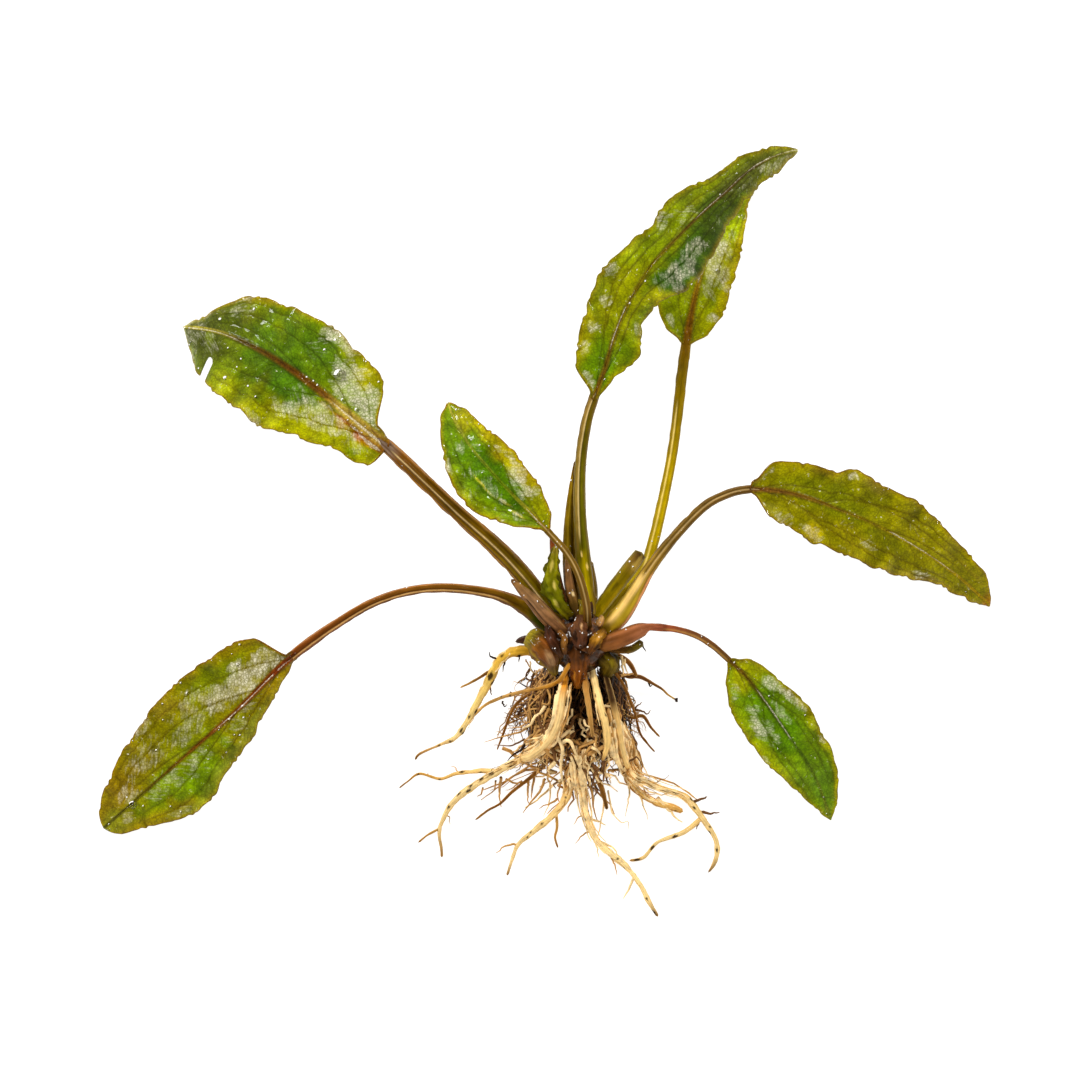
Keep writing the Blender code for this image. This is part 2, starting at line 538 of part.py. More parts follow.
def shortened(rows, gap):
    """The rows with the last one moved back, so that the piece ends a gap short."""
    rows = np.array(rows)
    last, before = rows[-1].copy(), rows[-2]
    span = np.linalg.norm(last[:3] - before[:3])
    rows[-1, :3] = (last + (before - last) * gap / span)[:3]
    return rows


def keep_clear(obj, cutter):
    modifier = obj.modifiers.new("Clear of " + cutter.name, "BOOLEAN")
    modifier.operation = "DIFFERENCE"
    modifier.object = cutter


def hide(cutter):
    cutter.hide_render = True
    cutter.display_type = "WIRE"
    return cutter


def main():
    for obj in list(bpy.data.objects):
        bpy.data.objects.remove(obj)
    plant = bpy.data.collections.new("Cryptocoryne")
    room = bpy.data.collections.new("Cutters")
    bpy.context.scene.collection.children.link(plant)
    bpy.context.scene.collection.children.link(room)

    core = rhizome("rhizome", plant)
    paint(core, RHIZOME_COLOUR, STALK_ROUGHNESS)
    core_room = hide(rhizome("rhizome_room", room, GAP))
    mass = root_mass("root_mass", plant)
    paint(mass, MASS_COLOUR, MASS_ROUGHNESS)
    keep_clear(mass, core_room)
    mass_room = hide(root_mass("root_mass_room", room, GAP))

    routes = {}
    pieces = {}
    for name, leaf in LEAVES.items():
        leaf_blade = blade("leaf_" + name, leaf, plant)
        paint(leaf_blade, leaf["colour"], LEAF_ROUGHNESS)
        base = leaf["midrib"][0]
        rows = leaf["stalk"] + [(*base, leaf["stalk"][-1][3])]
        rows = shortened(smooth_route(rows, STEP), GAP)
        stalk = tube("stalk_" + name, rows, STALK_SIDES, plant)
        paint(stalk, STALK_COLOURS[name], STALK_ROUGHNESS)
        keep_clear(stalk, core_room)
        pieces[stalk.name] = stalk
        routes[stalk.name] = rows, STALK_SIDES
    for name, rows in CROWN.items():
        rows = smooth_route(rows, CROWN_STEP)
        piece = tube(name, rows, STALK_SIDES, plant)
        paint(piece, CROWN_COLOURS[name], CROWN_ROUGHNESS)
        keep_clear(piece, core_room)
        pieces[name] = piece
        routes[name] = rows, STALK_SIDES
    for name, rows in ROOTS.items():
        rows = smooth_route(rows, STEP)
        if name in OVER_MASS:
            rows = lay_on_mass(rows)
        piece = tube(name, rows, ROOT_SIDES, plant)
        paint(piece, BROWN_ROOT if name in BROWN_ROOTS else PALE_ROOT, ROOT_ROUGHNESS)
        keep_clear(piece, core_room)
        keep_clear(piece, mass_room)
        pieces[name] = piece
        routes[name] = rows, ROOT_SIDES
    keep_clear(plant.objects["leaf_upper_left"], hide(bite("bite", room)))
    for name, others in GIVES_WAY_TO.items():
        for other in others:
            rows, sides = routes[other]
            cutter = hide(tube(f"{other}_room_for_{name}", rows, sides, room, GAP))
            keep_clear(pieces[name], cutter)


main()
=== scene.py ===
# A bare-rooted cryptocoryne, wet and washed, lying on a white table and seen from straight above.
import json
import math
import random

import bmesh
import bpy
import numpy as np
from mathutils import Matrix, Vector, noise

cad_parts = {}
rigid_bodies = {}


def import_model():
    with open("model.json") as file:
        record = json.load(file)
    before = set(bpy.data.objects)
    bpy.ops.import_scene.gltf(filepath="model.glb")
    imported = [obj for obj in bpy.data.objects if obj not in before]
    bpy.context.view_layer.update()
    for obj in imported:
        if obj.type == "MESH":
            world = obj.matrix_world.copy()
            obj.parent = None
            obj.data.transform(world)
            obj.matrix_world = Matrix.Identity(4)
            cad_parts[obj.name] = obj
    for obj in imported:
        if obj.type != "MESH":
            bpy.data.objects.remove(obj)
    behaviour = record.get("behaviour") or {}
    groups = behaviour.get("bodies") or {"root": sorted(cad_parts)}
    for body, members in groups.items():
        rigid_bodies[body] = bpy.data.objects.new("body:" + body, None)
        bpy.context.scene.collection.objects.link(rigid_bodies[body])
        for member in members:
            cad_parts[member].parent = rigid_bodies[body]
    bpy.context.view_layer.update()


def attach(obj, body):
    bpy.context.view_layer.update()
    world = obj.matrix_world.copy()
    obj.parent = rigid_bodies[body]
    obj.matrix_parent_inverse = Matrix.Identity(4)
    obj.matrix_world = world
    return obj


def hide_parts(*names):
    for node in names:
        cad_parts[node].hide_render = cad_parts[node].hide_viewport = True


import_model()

mm = 0.001  # every length below is in millimetres until a mesh is written

# Studio: the camera looks straight down, and the light is soft and comes from all round
studio = {
    "lens": 120,
    "sensor": 36,
    "distance": 720,
    "aim": (-7, 32),
    "roomLight": (1.5, 0.1),  # at the walls and overhead
    "roomColour": "FFF6E6",
    "softbox": {"place": (-520, 640, 760), "size": 200, "share": 0.34},
    "keyLight": {"place": (330, 480, 760), "size": 60, "share": 0.2},
    "floorColour": "A4A4A3",
    "floorGlow": 0.9,
    "floorSize": 3000,
}

# Values that all pieces share, in millimetres, apart from the reach and the samples
shape = {
    "leafCell": 0.28,
    "leafThickness": 0.34,
    "leafRest": 0.3,  # the lowest that a blade's middle comes to the table
    "tubeCell": 0.4,
    "tubeSide": 0.2,
    "routeStep": 0.5,
    "headingReach": 0.02,  # the share of a route that tells which way it runs
    "curveSamples": 12,
    "weld": 0.0005,
}


def linear(hexColour):
    channels = [int(hexColour[i:i + 2], 16) / 255 for i in (0, 2, 4)]
    return [c / 12.92 if c <= 0.04045 else ((c + 0.055) / 1.055) ** 2.4 for c in channels]


def addNode(tree, kind, settings, links=None):
    node = tree.nodes.new("ShaderNode" + kind)
    for name, value in settings.items():
        if isinstance(name, int) or name in node.inputs:
            node.inputs[name].default_value = value
        else:
            setattr(node, name, value)
    for name, source in (links or {}).items():
        tree.links.new(source, node.inputs[name])
    return node


def newMaterial(name, surface):
    # a material whose surface has these settings, with the tree and the shader to paint it by
    material = bpy.data.materials.new(name)
    material.use_nodes = True
    shader = material.node_tree.nodes["Principled BSDF"]
    for socket, value in surface.items():
        shader.inputs[socket].default_value = value
    return material, material.node_tree, shader


def ease(low, high, values):
    t = np.clip((values - low) / (high - low), 0, 1)
    return t * t * (3 - 2 * t)


def bell(distance, width):
    # 1 at no distance and next to nothing at twice this width
    return np.exp(-((distance / width) ** 2))


def splineAt(rows, t):
    # a smooth curve through the rows, read at shares of the way from the first to the last
    rows = np.array(rows, float)
    padded = np.concatenate([[2 * rows[0] - rows[1]], rows, [2 * rows[-1] - rows[-2]]])
    place = np.clip(np.asarray(t) * (len(rows) - 1), 0, len(rows) - 1 - 1e-9)
    first = place.astype(int)
    part = place - first
    if rows.ndim == 2:
        part = part[:, None]
    before, start, end, after = (padded[first + i] for i in range(4))
    bend = 2 * before - 5 * start + 4 * end - after
    twist = 3 * start - before - 3 * end + after
    return start + 0.5 * ((end - before) * part + bend * part**2 + twist * part**3)


def smoothRoute(rows, step):
    fine = splineAt(rows, np.linspace(0, 1, shape["curveSamples"] * (len(rows) - 1) + 1))
    spans = np.linalg.norm(np.diff(fine[:, :3], axis=0), axis=1)
    lengths = np.concatenate([[0], np.cumsum(spans)])
    wanted = np.linspace(0, lengths[-1], max(3, round(lengths[-1] / step) + 1))
    return np.column_stack([np.interp(wanted, lengths, column) for column in fine.T])


def routeLength(route):
    return np.linalg.norm(np.diff(route[:, :3], axis=0), axis=1).sum()


def readRoute(route, t):
    stations = np.linspace(0, 1, len(route))
    return np.column_stack([np.interp(t, stations, column) for column in route.T])


def headingAt(route, along):
    ahead = readRoute(route, np.minimum(along + shape["headingReach"], 1))
    behind = readRoute(route, np.maximum(along - shape["headingReach"], 0))
    return (ahead - behind)[:, :3]


def grain(points, size, seed):
    # smooth noise from about -1 to 1, with lumps of this size
    shift = Vector((17.3 * seed, 5.1 * seed, 9.7 * seed))
    return np.array([noise.noise(Vector(point) / size + shift) for point in points])


def blendIn(colour, hexColour, mask):
    return colour + (np.array(linear(hexColour)) - colour) * mask[:, None]


def stopsAt(stops, t):
    places = [place for place, hexColour in stops]
    colours = np.array([linear(hexColour) for place, hexColour in stops])
    return np.column_stack([np.interp(t, places, column) for column in colours.T])


def paint(mesh, key, values):
    # gives each point a colour or a number, for the material to read
    kind, channel = ("FLOAT", "value") if values.ndim == 1 else ("FLOAT_COLOR", "color")
    if channel == "color":
        values = np.column_stack([values, np.ones(len(values))])
    mesh.attributes.new(key, kind, "POINT").data.foreach_set(channel, values.ravel())


def gridMesh(name, cellsAlong, cellsAcross, place, closed):
    # a grid whose points go where place() says, with its map in millimetres; closed ones are tubes
    bm = bmesh.new()
    bm.loops.layers.uv.new("map")
    bmesh.ops.create_grid(bm, x_segments=cellsAlong, y_segments=cellsAcross, size=0.5, calc_uvs=True)
    mesh = bpy.data.meshes.new(name)
    bm.to_mesh(mesh)
    flat = np.zeros(len(mesh.vertices) * 3)
    mesh.vertices.foreach_get("co", flat)
    along, across = (flat.reshape(-1, 3)[:, :2] + 0.5).T
    along = np.rint(along * cellsAlong) / cellsAlong
    across = np.rint(across * cellsAcross) / cellsAcross
    points, chart, attributes = place(along, across)
    mesh.vertices.foreach_set("co", (points * mm).ravel())
    corners = np.zeros(len(mesh.loops), int)
    mesh.loops.foreach_get("vertex_index", corners)
    mesh.uv_layers["map"].data.foreach_set("uv", chart[corners].ravel())
    for key, values in attributes.items():
        paint(mesh, key, values)
    if closed:
        bm.clear()
        bm.from_mesh(mesh)
        bmesh.ops.remove_doubles(bm, verts=bm.verts, dist=shape["weld"] * mm)
        bmesh.ops.recalc_face_normals(bm, faces=bm.faces)
        bm.to_mesh(mesh)
    bm.free()
    return mesh


def addPiece(name, mesh, materials, nodes):
    for material in materials:
        mesh.materials.append(material)
    mesh.shade_smooth()
    piece = bpy.data.objects.new(name, mesh)
    bpy.context.scene.collection.objects.link(piece)
    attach(piece, "root")
    if nodes:
        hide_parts(*nodes)
    return piece


wetTissue = {"IOR": 1.4, "Specular IOR Level": 0.05, "Coat IOR": 1.33}


# Wet cryptocoryne leaf: thin, soft tissue under a film of water, with a net of fine veins. Where the
# film lies smooth, its reflection of the pale room is painted into the colour, in fine wavy lines
def leafMaterial(name, side):
    surface = {"Roughness": side["roughness"], "Coat Weight": side["wet"], "Coat Roughness": 0.05}
    material, tree, shader = newMaterial(name, {**wetTissue, **surface})
    pigment, film, vein, slanted = (
        addNode(tree, "Attribute", {"attribute_name": key}).outputs[output]
        for key, output in (("pigment", "Color"), ("film", "Fac"), ("vein", "Fac"), ("slant", "Vector"))
    )
    chart = addNode(tree, "UVMap", {"uv_map": "map"}).outputs["UV"]
    blotches = addNode(
        tree, "TexNoise", {"Scale": 1 / 1.6, "Detail": 4, "Roughness": 0.65}, {"Vector": chart}
    ).outputs["Fac"]
    net = addNode(
        tree, "TexVoronoi", {"feature": "DISTANCE_TO_EDGE", "Scale": 1 / 0.6, "Randomness": 1.0},
        {"Vector": chart},
    ).outputs["Distance"]
    squeezed = addNode(
        tree, "Mapping", {"Scale": (1 / 5, 1 / 2.5, 1)}, {"Vector": slanted}
    ).outputs["Vector"]
    fields = addNode(
        tree, "TexVoronoi", {"feature": "DISTANCE_TO_EDGE", "Scale": 1, "Randomness": 0.8},
        {"Vector": squeezed},
    ).outputs["Distance"]
    streaked = addNode(
        tree, "Mapping", {"Scale": (1 / 0.5, 1 / 2.5, 1)}, {"Vector": slanted}
    ).outputs["Vector"]
    streaks = addNode(
        tree, "TexNoise", {"Scale": 1, "Detail": 3, "Roughness": 0.6, "Distortion": 0.6},
        {"Vector": streaked},
    ).outputs["Fac"]
    netShade = addNode(
        tree, "MapRange", {"From Min": 0.02, "From Max": 0.16, "To Min": 0.74, "To Max": 1.06},
        {"Value": net},
    ).outputs["Result"]
    shade = addNode(
        tree, "MapRange",
        {"From Min": 0.3, "From Max": 0.7, "To Min": side["dark"], "To Max": side["light"]},
        {"Value": blotches},
    ).outputs["Result"]
    shade = addNode(tree, "Math", {"operation": "MULTIPLY"}, {0: shade, 1: netShade}).outputs[0]
    wrinkles = addNode(
        tree, "TexNoise", {"Scale": 1.6, "Detail": 3, "Roughness": 0.55, "Distortion": 0.8},
        {"Vector": squeezed},
    ).outputs["Fac"]
    # painted fold shade: each fold has a crisp edge, painted dark on one side and light on the other
    folds = addNode(tree, "Math", {"operation": "MULTIPLY", 1: 6}, {0: wrinkles}).outputs[0]
    folds = addNode(tree, "Math", {"operation": "FRACT"}, {0: folds}).outputs[0]
    foldShade = addNode(
        tree, "MapRange", {"To Min": 1 - side["folds"], "To Max": 1 + side["folds"]}, {"Value": folds}
    ).outputs["Result"]
    shade = addNode(tree, "Math", {"operation": "MULTIPLY"}, {0: shade, 1: foldShade}).outputs[0]
    colour = addNode(
        tree, "VectorMath", {"operation": "SCALE"}, {0: pigment, "Scale": shade}
    ).outputs[0]
    # light that has gone through the leaf is warm
    colour = addNode(
        tree, "VectorMath", {"operation": "MULTIPLY", 1: side["warmth"]}, {0: colour}
    ).outputs[0]
    threads = addNode(
        tree, "MapRange", {"From Min": 0.0, "From Max": 0.045, "To Min": 0.42, "To Max": 0.0},
        {"Value": fields},
    ).outputs["Result"]
    dark = addNode(tree, "Math", {"operation": "MAXIMUM"}, {0: threads, 1: vein}).outputs[0]
    darkTone = addNode(
        tree, "VectorMath", {"operation": "MULTIPLY", 1: (0.5, 0.38, 0.4)}, {0: colour}
    ).outputs[0]
    colour = addNode(
        tree, "Mix", {"data_type": "RGBA"}, {0: dark, 6: colour, 7: darkTone}
    ).outputs[2]
    # a thin painted sheen, the water film's painted reflection, shows only as streaks
    crests = addNode(tree, "Math", {"operation": "ADD"}, {0: streaks, 1: film}).outputs[0]
    lines = addNode(
        tree, "MapRange", {"From Min": 0.9, "From Max": 1.5, "To Min": 0, "To Max": side["film"]},
        {"Value": crests},
    ).outputs["Result"]
    cells = addNode(
        tree, "MapRange", {"From Min": 0.02, "From Max": 0.2, "To Min": 0.3, "To Max": 1.0},
        {"Value": net},
    ).outputs["Result"]
    sheenMask = addNode(tree, "Math", {"operation": "MULTIPLY"}, {0: lines, 1: cells}).outputs[0]
    uneven = addNode(
        tree, "MapRange", {"From Min": 0.36, "From Max": 0.6, "To Min": 0.7, "To Max": 1.0},
        {"Value": streaks},
    ).outputs["Result"]
    sheenMask = addNode(tree, "Math", {"operation": "MULTIPLY"}, {0: sheenMask, 1: uneven}).outputs[0]
    # painted glints: pale specks on the light side of each painted fold edge, where the blotches are lightest
    glints = addNode(
        tree, "MapRange", {"From Min": 0.86, "From Max": 0.96, "To Min": 0, "To Max": side["film"]},
        {"Value": folds},
    ).outputs["Result"]
    lit = addNode(
        tree, "MapRange", {"From Min": 0.6, "From Max": 0.66, "To Min": 0, "To Max": 1},
        {"Value": blotches},
    ).outputs["Result"]
    glints = addNode(tree, "Math", {"operation": "MULTIPLY"}, {0: glints, 1: lit}).outputs[0]
    sheenMask = addNode(tree, "Math", {"operation": "MAXIMUM"}, {0: sheenMask, 1: glints}).outputs[0]
    # the sheen is painted over the colour in a pale tone
    colour = addNode(
        tree, "Mix", {"data_type": "RGBA", 7: (*linear("F0ECD4"), 1)}, {0: sheenMask, 6: colour}
    ).outputs[2]
    tree.links.new(colour, shader.inputs["Base Color"])
    bump = addNode(
        tree, "Bump", {"Strength": side["bump"], "Distance": 0.4 * mm}, {"Height": wrinkles}
    )
    tree.links.new(bump.outputs["Normal"], shader.inputs["Normal"])
    return material


leafTop = leafMaterial(
    "Wet leaf, upper side",
    {"dark": 0.7, "light": 1.28, "roughness": 0.4, "film": 0.8, "bump": 1.0, "wet": 0.3,
     "folds": 0.16, "warmth": (1.35, 1.17, 0.18)},
)
leafUnder = leafMaterial(
    "Wet leaf, underside",
    {"dark": 0.9, "light": 1.25, "roughness": 0.5, "film": 0.1, "bump": 1.0, "wet": 0.4, "folds": 0.05,
     "warmth": (1.15, 1.05, 0.6)},
)


# Soft plant tissue other than leaves, painted by its own pigment, with streaks along the piece
def tissueMaterial(look):
    surface = {"Roughness": look["roughness"], "Coat Weight": look["wet"], "Coat Roughness": 0.08}
    material, tree, shader = newMaterial(look["name"], {**wetTissue, **surface})
    pigment = addNode(tree, "Attribute", {"attribute_name": "pigment"}).outputs["Color"]
    chart = addNode(tree, "UVMap", {"uv_map": "map"}).outputs["UV"]
    length, width = look["streak"]
    stretched = addNode(
        tree, "Mapping", {"Scale": (1 / length, 1 / width, 1)}, {"Vector": chart}
    ).outputs["Vector"]
    streaks = addNode(
        tree, "TexNoise", {"Scale": 1, "Detail": 4, "Roughness": 0.65}, {"Vector": stretched}
    ).outputs["Fac"]
    place = addNode(tree, "TexCoord", {}).outputs["Object"]
    blotches = addNode(
        tree, "TexNoise", {"Scale": 1 / (look["blotch"] * mm), "Detail": 3}, {"Vector": place}
    ).outputs["Fac"]
    both = addNode(tree, "Math", {"operation": "ADD"}, {0: streaks, 1: blotches}).outputs[0]
    shade = addNode(
        tree, "MapRange",
        {"From Min": 0.7, "From Max": 1.3, "To Min": 1 - look["contrast"], "To Max": 1 + look["contrast"]},
        {"Value": both},
    ).outputs["Result"]
    colour = addNode(
        tree, "VectorMath", {"operation": "SCALE"}, {0: pigment, "Scale": shade}
    ).outputs[0]
    colour = addNode(
        tree, "VectorMath", {"operation": "MULTIPLY", 1: look["warmth"]}, {0: colour}
    ).outputs[0]
    tree.links.new(colour, shader.inputs["Base Color"])
    bump = addNode(
        tree, "Bump", {"Strength": 1, "Distance": look["bump"] * mm}, {"Height": streaks}
    )
    tree.links.new(bump.outputs["Normal"], shader.inputs["Normal"])
    return material


# Petioles are smooth and ribbed, and shine like a wet straw
petioleSkin = tissueMaterial(
    {"name": "Ribbed petiole", "streak": (14, 0.5), "blotch": 4, "contrast": 0.32, "bump": 0.1,
     "roughness": 0.4, "wet": 0.05, "warmth": (1.36, 1.04, 0.45)}
)
# Sheaths are dead or dying leaf feet, papery and finely lined
sheathSkin = tissueMaterial(
    {"name": "Papery leaf sheath", "streak": (5, 0.35), "blotch": 2, "contrast": 0.5, "bump": 0.2,
     "roughness": 0.42, "wet": 0.3, "warmth": (1.2, 1.02, 0.6)}
)
# Young roots are firm and waxy, with faint lengthwise wrinkles
rootSkin = tissueMaterial(
    {"name": "Washed young root", "streak": (5, 0.25), "blotch": 1.6, "contrast": 0.22, "bump": 0.1,
     "roughness": 0.5, "wet": 0.1, "warmth": (1.3, 1.16, 0.84)}
)
# The rhizome is old, dark and lumpy, and wet between its scars
rhizomeSkin = tissueMaterial(
    {"name": "Wet rhizome bark", "streak": (1.2, 0.8), "blotch": 1, "contrast": 0.6, "bump": 0.3,
     "roughness": 0.36, "wet": 1.0, "warmth": (1.1, 1.0, 0.8)}
)


# Fine roots: too thin to show more than a colour that changes along and between them
def fibreMaterial(name, hexColour, roughness):
    material, tree, shader = newMaterial(name, {"Roughness": roughness, "Specular IOR Level": 0.15})
    place = addNode(tree, "TexCoord", {}).outputs["Object"]
    patches = addNode(
        tree, "TexNoise", {"Scale": 1 / (1.6 * mm), "Detail": 3}, {"Vector": place}
    ).outputs["Fac"]
    shade = addNode(
        tree, "MapRange", {"From Min": 0.3, "From Max": 0.7, "To Min": 0.6, "To Max": 1.45},
        {"Value": patches},
    ).outputs["Result"]
    colour = addNode(
        tree, "VectorMath", {"operation": "SCALE", 0: linear(hexColour)}, {"Scale": shade}
    ).outputs[0]
    tree.links.new(colour, shader.inputs["Base Color"])
    return material


fibreTones = [
    fibreMaterial("Dead root, black", "2A180A", 0.6),
    fibreMaterial("Dead root, brown", "6A4520", 0.55),
    fibreMaterial("Old root, tan", "BE9050", 0.5),
    fibreMaterial("Young rootlet, cream", "F4D69E", 0.45),
]


# Clear water in beads, which bend what is under them, and a painted white glint on each where the
# softbox would show
def waterMaterial(name, transmission):
    surface = {"Base Color": (1, 1, 1, 1), "Roughness": 0.0, "IOR": 1.33}
    return newMaterial(name, {**surface, "Transmission Weight": transmission})[0]


water = [waterMaterial("Clear water", 1.0), waterMaterial("Glint on water", 0.0)]
print("materials made")

# Leaves. A midrib's rows are x, y, z from the base to the tip, and the half widths are evenly
# spaced along it. Patches of colour are (colour, along, across, length, width, strength): along is
# the share of the way to the tip, across runs from -1 at the right margin to 1 at the left one.
# Painted sheen patches, the water film's painted reflection and highlights, are the same without a
# colour. A vein is (side, where it leaves the midrib, reach).
leaves = {}
leaves["lower_left"] = {
    "midrib": [
        (-55.2, 9.7, 9.2), (-59.4, 5.9, 8.6), (-66.4, -1.1, 7.5), (-74.4, -8.2, 6.3), (-82.5, -15.3, 4.6),
        (-88.6, -20.7, 2.6), (-94.2, -25.5, 0.4),
    ],
    "flareFrom": 0.35,
    "left": [1, 2, 3.4, 4.3, 6.1, 7, 8, 9.6, 10, 8.8, 6.4, 4.5, 2.2],
    "right": [0.9, 8.1, 10.3, 11.2, 11.9, 12, 11.9, 11, 9.9, 8.8, 7, 5.2, 2],
    "liftLeft": (-0.5, -2, -0.5), "liftRight": (1.5, 1, 0), "ruffle": 0.3, "waves": 5, "frill": 0.35,
    "teeth": 0.1, "ribWidth": (1.0, 0.3),
    "rib": [(0, "6E2E1C"), (0.3, "6A3414"), (0.55, "624210"), (0.8, "4C480C"), (1, "44482A")],
    "ribShine": [(0.0, 0.42)], "pigment": "767800", "margin": "6E5008",
    "patches": [
        ("6A8A00", 0.62, 0.4, 0.26, 0.5, 0.95), ("608600", 0.6, 0.55, 0.1, 0.25, 0.8),
        ("6A8004", 0.28, -0.72, 0.14, 0.3, 0.8), ("6E8406", 0.5, -0.2, 0.12, 0.4, 0.5),
        ("7E6E14", 0.86, -0.6, 0.16, 0.5, 0.8), ("8E8800", 0.82, 0.8, 0.18, 0.3, 0.8),
        ("86966A", 0.3, 0.95, 0.22, 0.3, 0.7), ("7C9660", 0.55, 0.97, 0.2, 0.22, 0.6),
        ("8A8040", 0.5, -0.85, 0.06, 0.2, 0.5), ("7A8A50", 0.96, 0.1, 0.07, 1.0, 0.5),
        ("8A7A10", 0.12, 0.4, 0.1, 0.5, 0.6), ("847A04", 0.16, -0.95, 0.08, 0.2, 0.6),
    ],
    "film": [
        (0.1, -0.28, 0.09, 0.3, 0.8), (0.22, -0.3, 0.1, 0.26, 0.85), (0.33, -0.38, 0.08, 0.2, 0.8),
        (0.06, -0.55, 0.04, 0.16, 0.7), (0.2, -0.62, 0.04, 0.08, 0.8), (0.3, 0.35, 0.1, 0.3, 0.45),
        (0.5, -0.3, 0.1, 0.16, 0.55), (0.62, -0.95, 0.04, 0.1, 0.65), (0.84, -0.25, 0.06, 0.25, 0.55),
        (0.55, 0.3, 0.08, 0.3, 0.5), (0.7, 0.15, 0.08, 0.25, 0.52), (0.72, 0.85, 0.05, 0.12, 0.55),
        (0.9, 0.35, 0.03, 0.3, 0.55), (0.7, -0.5, 0.12, 0.3, 0.5), (0.42, -0.6, 0.1, 0.2, 0.55),
    ],
    "veins": [(-1, 0.2, 0.62), (-1, 0.02, 0.85), (1, 0.3, 0.5), (1, 0.02, 0.75), (-1, 0.5, 0.3)],
}
leaves["upper_left"] = {
    "midrib": [
        (-36.7, 50.2, 16.2), (-44.1, 56.2, 17.2), (-51.9, 62.6, 17.5), (-59.8, 68, 16.5), (-67.8, 72, 14),
        (-72.9, 73.5, 11.5), (-77.4, 74.1, 8.5),
    ],
    "left": [5.5, 6.6, 7.2, 9.1, 10.3, 12.2, 12.8, 12.2, 11.9, 11.2, 9.9, 7.5, 1.1],
    "right": [1.1, 2.2, 8.9, 10.6, 10.7, 11.5, 11.4, 10.6, 10, 9.2, 5.6, 2.4, 0.5],
    "liftLeft": (0.5, -1, -2), "liftRight": (1, 0.5, -2), "ruffle": 0.4, "waves": 6, "frill": 0.45,
    "teeth": 0.12, "ribWidth": (2.1, 0.35),
    "rib": [
        (0, "7A4E14"), (0.05, "9A8676"), (0.24, "AA9E94"), (0.32, "6A4A1C"), (0.5, "56380C"),
        (0.72, "4A401A"), (0.82, "84846C"), (1, "9C9C84"),
    ],
    "ribShine": [(0.0, 0.28), (0.74, 1.1)],
    "bite": [
        (-73.6, 65.4), (-74.6, 63.2), (-73.2, 62.6), (-71.22, 66.71), (-71.26, 67.4), (-71.7, 67.99),
        (-72.2, 67.93), (-72.69, 67.2),
    ],
    "pigment": "6E8A08", "margin": "7E6A08",
    "patches": [
        ("486C1A", 0.55, 0.0, 0.18, 0.85, 1.0), ("3C661C", 0.45, 0.2, 0.12, 0.35, 0.8),
        ("4C721C", 0.42, -0.45, 0.1, 0.3, 0.6), ("929E02", 0.38, 0.85, 0.3, 0.34, 0.9),
        ("98A418", 0.2, 0.5, 0.14, 0.4, 0.8), ("7E8A08", 0.22, -0.95, 0.2, 0.26, 0.8),
        ("4A7430", 0.45, -0.6, 0.12, 0.28, 0.7), ("4F6A08", 0.62, 0.55, 0.04, 0.4, 0.8),
        ("4A5606", 0.55, 0.45, 0.03, 0.28, 0.7), ("3E4A30", 0.88, 0.0, 0.17, 1.1, 0.9),
        ("525E30", 0.76, -0.55, 0.08, 0.4, 0.8), ("40520A", 0.8, -0.42, 0.045, 0.2, 0.9),
        ("56700E", 0.73, -0.2, 0.05, 0.16, 0.9), ("68802A", 0.86, 0.18, 0.03, 0.2, 0.8),
        ("6A6A14", 0.76, -0.97, 0.1, 0.14, 0.8), ("8A9A20", 0.68, 0.85, 0.1, 0.3, 0.8),
        ("985818", 0.07, 0.26, 0.13, 0.2, 1.0), ("965A24", 0.17, 0.16, 0.12, 0.08, 0.9),
        ("B0B428", 0.24, -0.75, 0.06, 0.3, 0.5), ("96A010", 0.02, 0.7, 0.08, 0.4, 0.7),
    ],
    "film": [
        (0.05, 0.27, 0.026, 0.06, 1.5), (0.1, 0.24, 0.024, 0.045, 1.5), (0.15, 0.18, 0.016, 0.035, 1.5),
        (0.2, -0.42, 0.12, 0.34, 0.9), (0.12, -0.68, 0.07, 0.22, 0.75), (0.31, -0.6, 0.07, 0.2, 0.8),
        (0.2, 0.42, 0.09, 0.2, 0.75), (0.29, 0.3, 0.09, 0.24, 0.75), (0.29, 0.62, 0.08, 0.14, 0.6),
        (0.41, 0.55, 0.05, 0.14, 0.75), (0.38, 0.25, 0.06, 0.16, 0.5), (0.43, -0.9, 0.05, 0.14, 0.8),
        (0.37, -0.95, 0.05, 0.12, 0.7), (0.45, -0.5, 0.07, 0.16, 0.4), (0.5, 0.95, 0.05, 0.08, 0.6),
        (0.1, 0.6, 0.05, 0.2, 0.5), (0.92, -0.4, 0.08, 0.7, 0.5), (0.1, -0.3, 0.06, 0.16, 0.7),
        (0.84, 0.3, 0.05, 0.26, 0.5), (0.95, 0.4, 0.05, 0.8, 0.5), (0.77, -0.8, 0.05, 0.3, 0.5),
    ],
    "veins": [(-1, 0.18, 0.62), (-1, 0.0, 0.85), (1, 0.3, 0.55), (1, 0.05, 0.8), (-1, 0.42, 0.35)],
}
